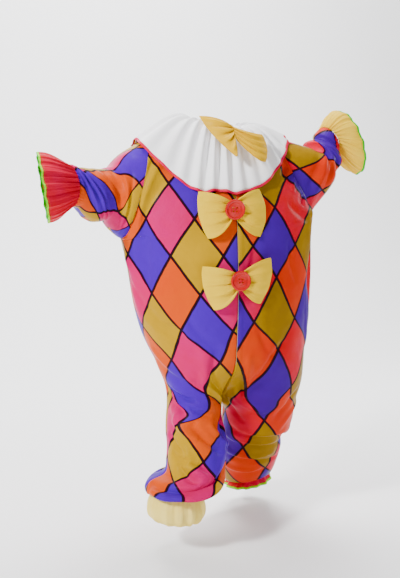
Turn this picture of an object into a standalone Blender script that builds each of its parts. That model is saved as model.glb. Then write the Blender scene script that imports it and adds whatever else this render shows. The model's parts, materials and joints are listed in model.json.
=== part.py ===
"""A clown costume, worn: a baggy one-piece suit cut from four panels and two sleeves, with
gathered wrist and ankle ruffles, a wide gathered collar, three bows and two big buttons.

Metres, +Z up. The suit faces -Y, and the wearer's left is +X. The origin is the middle of the
neck opening, at the height of the shoulder seams. Every cloth piece is a thin wall whose points
are worked out from the section tables below, and pieces are parted by a small gap at each seam.
"""
import math

import bpy
import numpy as np
from mathutils import Matrix, Vector
from mathutils.bvhtree import BVHTree

# Walls and seams
WALL = 0.002
COLLAR_WALL = 0.0016
BINDING_WALL = 0.003
BOW_WALL = 0.0035
SEAM_GAP = 0.0006
SEAT_GAP = 0.0008
JUNCTION_DRAW = 4
RIM_LEAN = (0.53, 0.31, 0.79)
SHARP_ANGLE = 50
RIGHT, LEFT = -1, 1
FRONT, BACK = -1, 1

# How many cells each piece is cut into
PANEL_COLUMNS = 9
SLEEVE_ROWS = 12
RUFFLE_COLUMNS = 48
RUFFLE_ROWS = 3
COLLAR_COLUMNS = 104
COLLAR_ROWS = 5
BOW_COLUMNS = 12
BOW_ROWS = 6
BUTTON_SIDES = 24
ELASTIC_COLUMNS = 32

# Rows of the body, counted down from the shoulder seam
ARMPIT_ROW = 8
BLEND_ROW = 14
CROTCH_ROW = 18
# How long a quarter circle's handles are, as a share of its radius, when it is drawn as a cubic curve
ARC = 0.5523
# How much of a side seam's rise the cloth beside it has left
SIDE_DIP = 0.2
# How close to the middle seam both sides' panels bend to meet in it
SEAM_MEET = 5
# The least share of a fold's depth, at its ends
FOLD_END = 0.12


def table(names, *rows):
    """A section table: one array for each named column."""
    return dict(zip(names.split(), np.array(rows, float).T))


def spline(values, at):
    """Values on a smooth curve through the rows of a table, at row numbers that need not be whole."""
    values = np.asarray(values, float)
    at = np.clip(np.asarray(at, float), 0, len(values) - 1)
    i = np.minimum(at.astype(int), len(values) - 2)
    f = at - i
    p0 = values[np.maximum(i - 1, 0)]
    p1 = values[i]
    p2 = values[i + 1]
    p3 = values[np.minimum(i + 2, len(values) - 1)]
    bend = 2 * p0 - 5 * p1 + 4 * p2 - p3
    twist = 3 * (p1 - p2) + p3 - p0
    return p1 + 0.5 * f * (p2 - p0 + f * (bend + f * twist))


def smooth(x):
    x = np.clip(x, 0.0, 1.0)
    return x * x * (3 - 2 * x)


# The line down the middle of the yoke, from the shoulder seam's row to the armpits' row. The first
# rows run round the neck opening, whose angle is counted from its side to the front or back.
YOKE = table(
    "angle  front_y  front_z  back_y  back_z",
    (0, 0.000, 0.000, 0.000, 0.000),
    (38, -0.056, -0.008, 0.050, -0.002),
    (68, -0.084, -0.026, 0.074, -0.004),
    (90, -0.094, -0.040, 0.082, -0.010),
    (90, -0.132, -0.078, 0.112, -0.040),
    (90, -0.166, -0.128, 0.142, -0.092),
    (90, -0.192, -0.190, 0.166, -0.160),
    (90, -0.210, -0.260, 0.184, -0.245),
    (90, -0.220, -0.330, 0.194, -0.330),
)
NECK_RADIUS = 0.088
SHOULDER_LIFT = 0.004

# The body's rings, from the armpits' row down. front, back, right and left are how far the cloth
# stands from the middle line. rise is how much higher the side seam is than the middle.
TORSO = table(
    "z  front  back  right  left  rise_right  rise_left",
    (-0.330, 0.220, 0.194, 0.330, 0.322, -0.016, 0.058),
    (-0.400, 0.227, 0.198, 0.317, 0.316, -0.010, 0.040),
    (-0.470, 0.230, 0.200, 0.305, 0.316, -0.006, 0.024),
    (-0.540, 0.230, 0.200, 0.295, 0.315, 0.000, 0.010),
    (-0.600, 0.226, 0.200, 0.282, 0.313, 0.000, 0.000),
    (-0.660, 0.220, 0.198, 0.264, 0.307, 0.000, 0.000),
    (-0.720, 0.212, 0.194, 0.238, 0.299, 0.000, 0.000),
    (-0.780, 0.202, 0.190, 0.211, 0.296, 0.000, 0.000),
    (-0.830, 0.192, 0.186, 0.190, 0.294, 0.000, 0.000),
    (-0.870, 0.184, 0.182, 0.184, 0.290, 0.000, 0.000),
    (-0.905, 0.176, 0.178, 0.188, 0.284, 0.000, 0.000),
)

# The legs' rings, from the row where they start to part. x and y place the middle, wide and deep are
# half the ring's size, and roll lifts the ring's outer side. The last rows turn the bag of cloth over
# the ankle, under and up to the ankle seam.
LEG = {
    RIGHT: table(
        "z  x  y  wide  deep  roll",
        (-0.720, -0.121, -0.006, 0.117, 0.182, 0.00),
        (-0.780, -0.107, -0.014, 0.103, 0.160, 0.00),
        (-0.830, -0.097, -0.026, 0.093, 0.142, 0.00),
        (-0.870, -0.099, -0.038, 0.086, 0.130, 0.00),
        (-0.905, -0.101, -0.050, 0.087, 0.122, 0.00),
        (-0.945, -0.103, -0.064, 0.092, 0.117, 0.00),
        (-0.985, -0.101, -0.078, 0.098, 0.114, 0.00),
        (-1.025, -0.099, -0.092, 0.099, 0.112, 0.00),
        (-1.065, -0.105, -0.106, 0.098, 0.112, 0.00),
        (-1.106, -0.114, -0.119, 0.099, 0.114, 0.00),
        (-1.125, -0.141, -0.127, 0.119, 0.123, 0.00),
        (-1.145, -0.154, -0.134, 0.126, 0.126, 0.00),
        (-1.160, -0.160, -0.139, 0.120, 0.121, 0.00),
        (-1.166, -0.168, -0.142, 0.107, 0.109, 0.02),
        (-1.161, -0.176, -0.144, 0.091, 0.094, 0.04),
        (-1.147, -0.181, -0.145, 0.077, 0.080, 0.06),
    ),
    LEFT: table(
        "z  x  y  wide  deep  roll",
        (-0.720, 0.152, 0.002, 0.147, 0.185, 0.00),
        (-0.780, 0.151, 0.006, 0.145, 0.170, 0.00),
        (-0.830, 0.150, 0.012, 0.143, 0.157, 0.00),
        (-0.870, 0.152, 0.020, 0.136, 0.147, 0.00),
        (-0.905, 0.153, 0.030, 0.130, 0.139, 0.00),
        (-0.950, 0.156, 0.046, 0.125, 0.132, 0.00),
        (-1.000, 0.156, 0.066, 0.122, 0.128, 0.00),
        (-1.036, 0.156, 0.083, 0.122, 0.128, 0.02),
        (-1.056, 0.149, 0.096, 0.110, 0.118, 0.04),
        (-1.095, 0.147, 0.114, 0.109, 0.117, 0.06),
        (-1.135, 0.154, 0.138, 0.109, 0.116, 0.10),
        (-1.178, 0.159, 0.164, 0.104, 0.111, 0.14),
        (-1.216, 0.163, 0.184, 0.096, 0.104, 0.18),
        (-1.238, 0.166, 0.194, 0.087, 0.093, 0.20),
        (-1.240, 0.168, 0.199, 0.078, 0.082, 0.20),
        (-1.228, 0.169, 0.201, 0.069, 0.071, 0.20),
    ),
}

# The sleeves' rings, from armhole to wrist. yaw turns the ring's axis forward from straight out to
# the side, pitch lifts it, and tall and deep are half the ring's size.
SLEEVE = {
    RIGHT: table(
        "x  y  z  yaw  pitch  tall  deep",
        (-0.292, -0.002, -0.188, 4, 14, 0.165, 0.130),
        (-0.341, -0.012, -0.199, 12, 8, 0.131, 0.120),
        (-0.380, -0.032, -0.205, 20, 2, 0.094, 0.103),
        (-0.424, -0.056, -0.208, 25, -4, 0.081, 0.088),
        (-0.461, -0.078, -0.196, 26, -8, 0.079, 0.080),
        (-0.490, -0.096, -0.179, 26, -8, 0.069, 0.070),
        (-0.507, -0.105, -0.173, 26, -6, 0.061, 0.061),
    ),
    LEFT: table(
        "x  y  z  yaw  pitch  tall  deep",
        (0.256, 0.000, -0.142, 16, 26, 0.144, 0.112),
        (0.324, 0.010, -0.128, -6, 24, 0.094, 0.106),
        (0.370, 0.034, -0.098, -20, 38, 0.064, 0.088),
        (0.388, 0.052, -0.064, -20, 50, 0.058, 0.074),
        (0.402, 0.062, -0.034, -16, 46, 0.052, 0.060),
        (0.417, 0.070, -0.012, -12, 33, 0.044, 0.050),
    ),
}

# The wrist ruffles' hems: where the hem's middle is, how it is turned and half its size
WRIST = {
    RIGHT: dict(hem=(-0.586, -0.153, -0.180), yaw=-2, pitch=-8, tall=0.104, deep=0.092),
    LEFT: dict(hem=(0.492, 0.088, -0.026), yaw=-10, pitch=20, tall=0.114, deep=0.092),
}
WRIST_WAVES = 12
WRIST_WAVE = 0.0045
WRIST_WAVE_GROWTH = 0.8
# The ankle ruffles, down from the ankle seam: how much wider than the seam, and half a wave's height
ANKLE = {
    RIGHT: table(
        "drop  spread  wave",
        (0.000, -0.0033, 0.0006),
        (0.030, 0.0060, 0.0026),
        (0.062, 0.0160, 0.0042),
        (0.090, 0.0140, 0.0046),
        (0.106, 0.0020, 0.0038),
    ),
    LEFT: table(
        "drop  spread  wave",
        (0.000, -0.0033, 0.0006),
        (0.012, -0.0010, 0.0018),
        (0.024, 0.0050, 0.0034),
        (0.036, 0.0120, 0.0044),
    ),
}
ANKLE_WAVES = 13
BINDING_WIDTH = 0.009
# Gathers aren't even, so a second, lower wave runs round with the first
SECOND_WAVE = 0.35
SECOND_WAVE_MORE = 3
SECOND_WAVE_TURN = 1.3

# The largest folds of the suit: where each starts and ends, by row and by how far it is across its
# panel from the side to the middle, how wide it is, and how far it stands out (or, below zero, in).
FOLDS = table(
    "side  face  row_a  across_a  row_b  across_b  wide  out",
    (RIGHT, FRONT, 5.0, 0.10, 10.0, 0.30, 0.030, -0.012),
    (RIGHT, FRONT, 7.5, 0.04, 12.0, 0.14, 0.026, 0.009),
    (RIGHT, FRONT, 12.4, 0.30, 13.6, 0.80, 0.022, -0.009),
    (RIGHT, FRONT, 14.4, 0.05, 15.6, 0.45, 0.024, -0.010),
    (RIGHT, FRONT, 16.4, 0.02, 18.0, 0.30, 0.018, -0.014),
    (RIGHT, FRONT, 17.4, 0.10, 19.4, 0.34, 0.018, 0.009),
    (RIGHT, FRONT, 13.5, 0.74, 17.5, 0.62, 0.022, 0.011),
    (RIGHT, FRONT, 18.6, 0.78, 22.0, 0.66, 0.018, -0.009),
    (RIGHT, FRONT, 20.6, 0.26, 22.8, 0.46, 0.016, 0.008),
    (RIGHT, FRONT, 21.6, 0.40, 23.4, 0.66, 0.014, -0.009),
    (RIGHT, BACK, 10.0, 0.40, 14.0, 0.55, 0.036, 0.012),
    (RIGHT, BACK, 14.5, 0.10, 16.5, 0.60, 0.026, -0.012),
    (RIGHT, BACK, 18.0, 0.20, 19.6, 0.70, 0.022, 0.009),
    (RIGHT, BACK, 20.6, 0.20, 21.8, 0.66, 0.020, -0.009),
    (LEFT, FRONT, 5.0, 0.08, 10.0, 0.24, 0.028, 0.009),
    (LEFT, FRONT, 7.5, 0.16, 12.5, 0.30, 0.026, -0.009),
    (LEFT, FRONT, 13.0, 0.60, 16.5, 0.74, 0.024, -0.009),
    (LEFT, FRONT, 19.6, 0.10, 20.8, 0.80, 0.022, 0.009),
    (LEFT, FRONT, 21.8, 0.05, 22.6, 0.70, 0.016, -0.010),
    (LEFT, FRONT, 23.2, 0.10, 24.0, 0.80, 0.018, 0.010),
    (LEFT, FRONT, 24.8, 0.00, 25.2, 0.50, 0.014, -0.008),
    (LEFT, BACK, 10.0, 0.35, 15.0, 0.45, 0.036, -0.010),
    (LEFT, BACK, 15.5, 0.10, 18.0, 0.60, 0.026, 0.011),
    (LEFT, BACK, 20.0, 0.10, 21.0, 0.80, 0.022, -0.010),
    (LEFT, BACK, 22.6, 0.05, 23.6, 0.70, 0.020, 0.010),
)
# The creases round the sleeves where they are pushed up: how far along, how wide and how deep.
SLEEVE_CREASES = {
    RIGHT: table("along  wide  out", (0.34, 0.07, -0.010), (0.55, 0.07, 0.006), (0.78, 0.06, -0.006)),
    LEFT: table("along  wide  out", (0.40, 0.06, -0.010), (0.58, 0.06, 0.007), (0.74, 0.05, -0.009)),
}
CREASE_LEAN = 0.05
CREASE_TURN = 0.7

# The collar's edge round the neck, its angle counted from the front towards the wearer's left.
COLLAR_EDGE = table(
    "angle  reach  z",
    (0, 0.206, -0.194),
    (15, 0.207, -0.181),
    (30, 0.210, -0.159),
    (45, 0.209, -0.120),
    (60, 0.214, -0.080),
    (75, 0.222, -0.034),
    (90, 0.222, -0.010),
    (105, 0.232, -0.008),
    (120, 0.234, -0.068),
    (135, 0.216, -0.132),
    (150, 0.194, -0.156),
    (165, 0.186, -0.160),
    (180, 0.186, -0.160),
    (195, 0.188, -0.160),
    (210, 0.196, -0.156),
    (225, 0.216, -0.148),
    (240, 0.246, -0.100),
    (255, 0.284, -0.044),
    (270, 0.274, -0.024),
    (285, 0.276, -0.046),
    (300, 0.250, -0.104),
    (315, 0.231, -0.157),
    (330, 0.217, -0.188),
    (345, 0.206, -0.184),
    (360, 0.206, -0.194),
)
COLLAR_FOLDS = 26
COLLAR_STAND_RADIUS = 0.0835
COLLAR_STAND = 0.005
COLLAR_STAND_TILT = 0.011
COLLAR_PUFF = 0.038
COLLAR_PUFF_LEAN = 0.018
# Half the height of the collar's folds at the neck, in the middle and at the edge
COLLAR_FOLD_NECK = 0.0006
COLLAR_FOLD = 0.0022
COLLAR_FOLD_MIDDLE = 0.0062
COLLAR_FOLD_EDGE = 0.0016
# How soon the collar widens, puffs up and falls from the neck out, and how much of the puff is lost
COLLAR_WIDEN = 1.15
COLLAR_PUFF_START = 0.75
COLLAR_PUFF_LOSS = 0.35
COLLAR_FALL = 2
# How soon its folds deepen towards the middle, and how long they stay deep
COLLAR_FOLD_START = 0.8
COLLAR_FOLD_STAY = 0.7

# The bows' corners, measured across and up from the pinched middle, for the wing on the wearer's
# right and then for the other. bulge rounds a wing's outer edge, and pleats fan out over its height.
BOWS = {
    "upper": table(
        "top_x  top_z  low_x  low_z  bulge  pleats",
        (-0.108, 0.055, -0.082, -0.090, 0.014, 3),
        (0.086, 0.062, 0.086, -0.086, 0.022, 3),
    ),
    "lower": table(
        "top_x  top_z  low_x  low_z  bulge  pleats",
        (-0.116, 0.046, -0.080, -0.091, 0.014, 3),
        (0.104, 0.068, 0.070, -0.075, 0.018, 3),
    ),
    "neck": table(
        "top_x  top_z  low_x  low_z  bulge  pleats",
        (-0.098, 0.048, -0.008, -0.082, 0.012, 4),
        (0.098, -0.010, 0.088, -0.098, 0.012, 4),
    ),
}
# Where the bows' pinched middles are before they are moved back to their seats. lean brings a bow's
# lower edge forward, and wrap bends its wings back round what they lie on.
BOW_PLACES = {
    "upper": dict(x=-0.013, y=-0.45, z=-0.248, lean=0.10, wrap=0.7),
    "lower": dict(x=0.001, y=-0.45, z=-0.468, lean=0.00, wrap=0.7),
    "neck": dict(x=0.006, y=-0.40, z=-0.004, lean=0.75, wrap=2.0),
}
BOW_PINCH = 0.016
BOW_PUFF = 0.014
BOW_PLEAT = 0.005
BOW_PLEAT_FADE = 0.7
# How soon a bow opens from its pinch to its full height
BOW_OPENING = 0.8
SEAT_REACH = 0.1

BUTTON_RADIUS = 0.032
BUTTON_START = -0.50
# The button's section from the middle of its face, out over its rim and back along its underside
BUTTON_PROFILE = table(
    "share  height",
    (0.00, 0.0046),
    (0.66, 0.0042),
    (0.80, 0.0068),
    (0.93, 0.0072),
    (1.00, 0.0052),
    (1.00, 0.0015),
    (0.96, 0.0000),
    (0.00, 0.0000),
)
HOLES = 4
HOLE_RADIUS = 0.0027
HOLE_REACH = 0.0086
HOLE_DEPTH = 0.02
HOLE_SIDES = 8

# The elastic lies in the collar's neck edge
ELASTIC_RADIUS = COLLAR_STAND_RADIUS - 0.0027
ELASTIC_WIDTH = 0.008
ELASTIC_WALL = 0.0015


def bezier(points, s):
    """A cubic curve with these four corners, at the shares s."""
    s = np.asarray(s, float)[:, None]
    a, b, c, d = (np.asarray(p, float) for p in points)
    return a * (1 - s) ** 3 + 3 * b * s * (1 - s) ** 2 + 3 * c * s * s * (1 - s) + d * s ** 3


def ring_axes(side, yaw, pitch):
    """The up, front and outward directions of a sleeve's ring."""
    yaw, pitch = math.radians(yaw), math.radians(pitch)
    level = math.cos(pitch)
    out = np.array([side * level * math.cos(yaw), -level * math.sin(yaw), math.sin(pitch)])
    front = np.array([-side * math.sin(yaw), -math.cos(yaw), 0.0])
    return side * np.cross(front, out), front, out


def ring(side, centre, yaw, pitch, tall, deep, turn):
    """Points round an upright ring. turn is 0 at the bottom and a quarter turn at the front."""
    up, front, _ = ring_axes(side, yaw, pitch)
    turn = np.asarray(turn, float)[:, None]
    return np.asarray(centre) - tall * np.cos(turn) * up + deep * np.sin(turn) * front


def sleeve_ring(side, row, turn):
    t = {name: float(spline(column, row)) for name, column in SLEEVE[side].items()}
    return ring(side, (t["x"], t["y"], t["z"]), t["yaw"], t["pitch"], t["tall"], t["deep"], turn)


def yoke_row(side, face, row, s):
    """A row above the armpits, from the armhole to the middle line or the neck opening."""
    turn = math.pi * (ARMPIT_ROW - row) / ARMPIT_ROW
    outer = sleeve_ring(side, 0, [turn if face == FRONT else -turn])[0]
    name = "front" if face == FRONT else "back"
    angle = math.radians(float(spline(YOKE["angle"], row)))
    y, z = float(spline(YOKE[name + "_y"], row)), float(spline(YOKE[name + "_z"], row))
    inner = np.array([side * NECK_RADIUS * math.cos(angle), y, z])
    ease = float(smooth(1 - row / ARMPIT_ROW))
    span = inner - outer
    leave = (1 - ease) * np.array([0, ARC * span[1], 0]) + ease * span / 3
    arrive = (1 - ease) * np.array([-ARC * span[0], 0, 0]) - ease * span / 3
    lift = np.array([0, 0, SHOULDER_LIFT * ease])
    return bezier((outer, outer + leave + lift, inner + arrive + lift, inner), s)


def torso_row(side, face, row, s):
    t = {name: float(spline(column, row - ARMPIT_ROW)) for name, column in TORSO.items()}
    wide = t["right"] if side == RIGHT else t["left"]
    rise = t["rise_right"] if side == RIGHT else t["rise_left"]
    deep = t["front"] if face == FRONT else t["back"]
    outer = np.array([side * wide, 0.0, t["z"] + rise])
    below = max(0.0, 1 - (row - ARMPIT_ROW) / 2)
    if below:
        first = np.array([side * TORSO["right" if side == RIGHT else "left"][0], 0.0, 0.0])
        first[2] = TORSO["z"][0] + TORSO["rise_right" if side == RIGHT else "rise_left"][0]
        outer = outer + below ** 2 * (sleeve_ring(side, 0, [0.0])[0] - first)
    inner = np.array([0.0, face * deep, t["z"]])
    leave = np.array([0, face * ARC * deep, -SIDE_DIP * rise])
    arrive = np.array([side * ARC * wide, 0, 0])
    return bezier((outer, outer + leave, inner + arrive, inner), s)


def leg_row(side, face, row, s):
    t = {name: float(spline(column, row - BLEND_ROW)) for name, column in LEG[side].items()}
    turn = np.pi * np.asarray(s, float)
    x = t["x"] + side * t["wide"] * np.cos(turn)
    y = t["y"] + face * t["deep"] * np.sin(turn)
    z = t["z"] + t["roll"] * side * (x - t["x"])
    return np.stack([x, y, z], axis=-1)


def blended_row(side, face, row, s):
    share = float(smooth((row - BLEND_ROW) / (CROTCH_ROW - BLEND_ROW)))
    if share == 0:
        return torso_row(side, face, row, s)
    if share == 1:
        return leg_row(side, face, row, s)
    return (1 - share) * torso_row(side, face, row, s) + share * leg_row(side, face, row, s)


def panel_row(side, face, row, s):
    """One row of a panel, from its outer edge (s = 0) to its inner one (s = 1)."""
    s = np.asarray(s, float)
    if row < ARMPIT_ROW:
        return yoke_row(side, face, row, s)
    points = blended_row(side, face, row, s)
    joined = float(1 - smooth(row - CROTCH_ROW))
    if row > BLEND_ROW and joined:
        # Down to the crotch both sides' panels meet in one seam
        mine, other = (blended_row(which, face, row, [1.0])[0] for which in (side, -side))
        points = points + joined * (s ** SEAM_MEET)[:, None] * (other - mine) / 2
    return points


def body_rows():
    return BLEND_ROW + len(LEG[RIGHT]["z"])


def panel_grid(side, face):
    s = np.linspace(0, 1, PANEL_COLUMNS + 1)
    return np.array([panel_row(side, face, row, s) for row in range(body_rows())])


def sleeve_grid(side):
    """Rings from armhole to wrist. Each has a point for each of the armhole's rows, front and back."""
    turn = np.arange(2 * ARMPIT_ROW) * math.pi / ARMPIT_ROW
    rows = np.linspace(0, len(SLEEVE[side]["x"]) - 1, SLEEVE_ROWS + 1)
    grid = np.array([sleeve_ring(side, row, turn) for row in rows])
    middle = grid.mean(axis=1, keepdims=True)
    creases = SLEEVE_CREASES[side]
    along = np.linspace(0, 1, SLEEVE_ROWS + 1)
    for at, wide, out in zip(creases["along"], creases["wide"], creases["out"]):
        lean = CREASE_LEAN * np.cos(turn + CREASE_TURN * side)[None, :]
        depth = out * np.exp(-(((along[:, None] - at - lean) / wide) ** 2))
        depth[[0, -1]] = 0
        away = grid - middle
        grid = grid + depth[:, :, None] * away / np.linalg.norm(away, axis=2, keepdims=True)
    return grid


def face_normals(grid, closed, flip):
    """A grid's cells, as four point numbers each, and their normals."""
    rows, columns = grid.shape[:2]
    number = np.arange(rows * columns).reshape(rows, columns)
    following = np.roll(number, -1, axis=1) if closed else number[:, 1:]
    here = number if closed else number[:, :-1]
    quads = np.stack([here[:-1], following[:-1], following[1:], here[1:]], axis=-1).reshape(-1, 4)
    if flip:
        quads = quads[:, ::-1]
    points = grid.reshape(-1, 3)
    across = points[quads[:, 2]] - points[quads[:, 0]]
    other = points[quads[:, 3]] - points[quads[:, 1]]
    return quads, np.cross(across, other)


def shared_normals(grids):
    """Each point's normal, taken over all the pieces that meet there, so that walls meet at seams."""
    total = {}
    keys = []
    for grid, closed, flip in grids:
        quads, normals = face_normals(grid, closed, flip)
        names = [tuple(k) for k in np.round(grid.reshape(-1, 3) * 1e5).astype(int)]
        keys.append(names)
        for quad, normal in zip(quads, normals):
            for corner in quad:
                total[names[corner]] = total.get(names[corner], 0) + normal
    found = []
    for (grid, _, _), names in zip(grids, keys):
        normals = np.array([total[name] for name in names])
        normals /= np.linalg.norm(normals, axis=1, keepdims=True)
        found.append(normals.reshape(grid.shape))
    return found


def fold_lines():
    """The folds as lines in space, each with its width and how far it stands out."""
    lines = []
    for side, face, row_a, across_a, row_b, across_b, wide, out in zip(*FOLDS.values()):
        start = panel_row(int(side), int(face), row_a, [across_a])[0]
        end = panel_row(int(side), int(face), row_b, [across_b])[0]
        lines.append((start, end, wide, out))
    return lines


def folded(grid, normals, lines):
    """The grid with its folds pressed in or raised, each dying away at its ends."""
    for start, end, wide, out in lines:
        span = end - start
        share = ((grid - start) @ span) / (span @ span)
        nearest = start + np.clip(share, 0, 1)[..., None] * span
        away = np.linalg.norm(grid - nearest, axis=-1)
        taper = np.sqrt(np.clip(1 - (2 * np.clip(share, 0, 1) - 1) ** 2, FOLD_END, 1))
        grid = grid + normals * (out * taper * np.exp(-((away / wide) ** 2)))[..., None]
    return grid


def inward(edge, normals, inner, closed):
    """Directions in the cloth, square to its edge, that point into the piece."""
    if closed:
        along = np.roll(edge, -1, axis=0) - np.roll(edge, 1, axis=0)
    else:
        along = np.gradient(edge, axis=0)
    across = np.cross(along, normals)
    across /= np.linalg.norm(across, axis=-1, keepdims=True)
    return across * np.sign(np.sum(across * (inner - edge)))


def drawn_in(grid, normals, closed, step, junction=None):
    """The grid with its open edges drawn back by a step, to leave a gap at the seams. At a junction,
    a row where four pieces meet in a point, the corner is drawn back along its row."""
    move = np.zeros_like(grid)
    move[0] += inward(grid[0], normals[0], grid[1], closed)
    move[-1] += inward(grid[-1], normals[-1], grid[-2], closed)
    if not closed:
        move[:, 0] += inward(grid[:, 0], normals[:, 0], grid[:, 1], False)
        move[:, -1] += inward(grid[:, -1], normals[:, -1], grid[:, -2], False)
    if junction is not None:
        back = grid[junction, -2] - grid[junction, -1]
        move[junction, -1] = JUNCTION_DRAW * back / np.linalg.norm(back)
    return grid + step * move


def material(name, colour, roughness=0.45):
    made = bpy.data.materials.get(name) or bpy.data.materials.new(name)
    made.use_nodes = True
    shader = made.node_tree.nodes["Principled BSDF"]
    shader.inputs["Base Color"].default_value = (*colour, 1.0)
    shader.inputs["Roughness"].default_value = roughness
    shader.inputs["Metallic"].default_value = 0.0
    return made


def add_object(name, points, faces, slot):
    mesh = bpy.data.meshes.new(name)
    mesh.from_pydata([tuple(p) for p in points], [], [tuple(int(i) for i in f) for f in faces])
    mesh.materials.append(slot)
    mesh.shade_smooth()
    mesh.set_sharp_from_angle(angle=math.radians(SHARP_ANGLE))
    made = bpy.data.objects.new(name, mesh)
    COSTUME.objects.link(made)
    return made


def triangles(quads, points):
    """Each cell as two triangles, parted along its shorter diagonal."""
    made = []
    for a, b, c, d in quads:
        if np.sum((points[a] - points[c]) ** 2) <= np.sum((points[b] - points[d]) ** 2):
            made += [(a, b, c), (a, c, d)]
        else:
            made += [(a, b, d), (b, c, d)]
    return np.array(made)


def wall(name, grid, normals, slot, closed=False, flip=False, thick=WALL, gap=SEAM_GAP, junction=None):
    """A cloth wall: the grid's points moved out and in by half the thickness, closed at its edges.

    It is a loft between unlike sections, and both layers use the seams' shared normals, which keeps
    neighbouring pieces parallel where they meet."""
    grid = drawn_in(grid, normals, closed, gap / 2, junction)
    rows, columns = grid.shape[:2]
    quads, _ = face_normals(grid, closed, flip)
    outer = (grid + normals * thick / 2).reshape(-1, 3)
    inner = (grid - normals * thick / 2).reshape(-1, 3)
    count = rows * columns
    middle = grid.reshape(-1, 3)
    cells = triangles(quads, middle)
    faces = [*cells, *(cells[:, ::-1] + count)]
    used = {(a, b) for cell in cells for a, b in zip(cell, np.roll(cell, -1))}
    for a, b in used:
        if (b, a) in used:
            continue
        # Both pieces at a seam part a rim's cell along the same diagonal
        if middle[a] @ RIM_LEAN > middle[b] @ RIM_LEAN:
            faces += [(b, a, a + count), (b, a + count, b + count)]
        else:
            faces += [(b, a, b + count), (a, a + count, b + count)]
    return add_object(name, np.vstack([outer, inner]), faces, slot)


def flat_ring_normals(grid, out):
    """Normals that lie in the plane of a seam's ring, pointing away from its middle."""
    away = grid - grid.mean(axis=-2, keepdims=True)
    away -= (away @ out)[..., None] * out
    return away / np.linalg.norm(away, axis=-1, keepdims=True)


def make_suit(satin):
    """The four panels and the two sleeves, with their normals shared at every seam."""
    pieces = {}
    for side, word in ((RIGHT, "right"), (LEFT, "left")):
        pieces[f"front_{word}"] = (panel_grid(side, FRONT), False, side == RIGHT)
        pieces[f"back_{word}"] = (panel_grid(side, BACK), False, side == LEFT)
        pieces[f"sleeve_{word}"] = (sleeve_grid(side), True, side == LEFT)
    names = list(pieces)
    normals = dict(zip(names, shared_normals([pieces[n] for n in names])))
    lines = fold_lines()
    for name in names:
        grid, closed, flip = pieces[name]
        if name.startswith("sleeve"):
            # The armhole takes the body's folds, so the sleeve's first ring does as well
            grid = grid.copy()
            grid[0] = folded(grid[0], normals[name][0], lines)
        else:
            grid = folded(grid, normals[name], lines)
        pieces[name] = (grid, closed, flip)
    normals = dict(zip(names, shared_normals([pieces[n] for n in names])))
    for name in names:
        grid, closed, flip = pieces[name]
        side = RIGHT if name.endswith("right") else LEFT
        if closed:
            section = SLEEVE[side]
            out = ring_axes(side, section["yaw"][-1], section["pitch"][-1])[2]
            normals[name][-1] = flat_ring_normals(grid[-1], out)
        wall(name, grid, normals[name], satin, closed, flip, junction=None if closed else CROTCH_ROW)
    return pieces


def grid_normals(grid, closed, flip):
    return shared_normals([(grid, closed, flip)])[0]


def waved(grid, normals, waves, heights):
    """A closed grid with soft waves round it, of the height given for each row."""
    turn = np.arange(grid.shape[1]) / grid.shape[1] * 2 * np.pi
    second = SECOND_WAVE * np.cos((waves + SECOND_WAVE_MORE) * turn + SECOND_WAVE_TURN)
    shape = np.cos(waves * turn) + second
    return grid + normals * (np.asarray(heights)[:, None] * shape[None, :])[..., None]


def strip(grid, width):
    """A closed strip that carries a grid on past its last row."""
    run = grid[-1] - grid[-2]
    run = run / np.linalg.norm(run, axis=-1, keepdims=True)
    return np.array([grid[-1], grid[-1] + run * width])


def make_ruffle(name, grid, flip, cloth, trim=None, top_normals=None):
    """A ruffle and, where it shows, the binding that carries its hem on."""
    normals = grid_normals(grid, True, flip)
    if top_normals is not None:
        normals[0] = top_normals
    if trim is None:
        wall(name, grid, normals, cloth, True, flip)
        return
    edge = strip(grid, BINDING_WIDTH)
    both = shared_normals([(grid, True, flip), (edge, True, flip)])
    if top_normals is not None:
        both[0][0] = top_normals
    wall(name, grid, both[0], cloth, True, flip)
    wall(name + "_binding", edge, both[1], trim, True, flip, BINDING_WALL)


def make_wrist_ruffles(cloths, trim):
    turn = np.arange(RUFFLE_COLUMNS) / RUFFLE_COLUMNS * 2 * np.pi
    for side, word in ((RIGHT, "right"), (LEFT, "left")):
        section = {name: column[-1] for name, column in SLEEVE[side].items()}
        centre = np.array([section["x"], section["y"], section["z"]])
        top = ring(side, centre, section["yaw"], section["pitch"], section["tall"], section["deep"], turn)
        hem = WRIST[side]
        end = ring(side, hem["hem"], hem["yaw"], hem["pitch"], hem["tall"], hem["deep"], turn)
        t = np.linspace(0, 1, RUFFLE_ROWS + 1)[:, None, None]
        flare = np.sin(t * np.pi / 2)
        axis = (np.asarray(hem["hem"]) - centre) * t
        grid = centre + axis + (1 - flare) * (top - centre) + flare * (end - np.asarray(hem["hem"]))
        normals = grid_normals(grid, True, side == LEFT)
        heights = WRIST_WAVE * np.linspace(0, 1, RUFFLE_ROWS + 1) ** WRIST_WAVE_GROWTH
        grid = waved(grid, normals, WRIST_WAVES, heights)
        out = ring_axes(side, section["yaw"], section["pitch"])[2]
        rim = flat_ring_normals(top, out)
        make_ruffle(f"wrist_ruffle_{word}", grid, side == LEFT, cloths[side], trim, rim)


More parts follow.
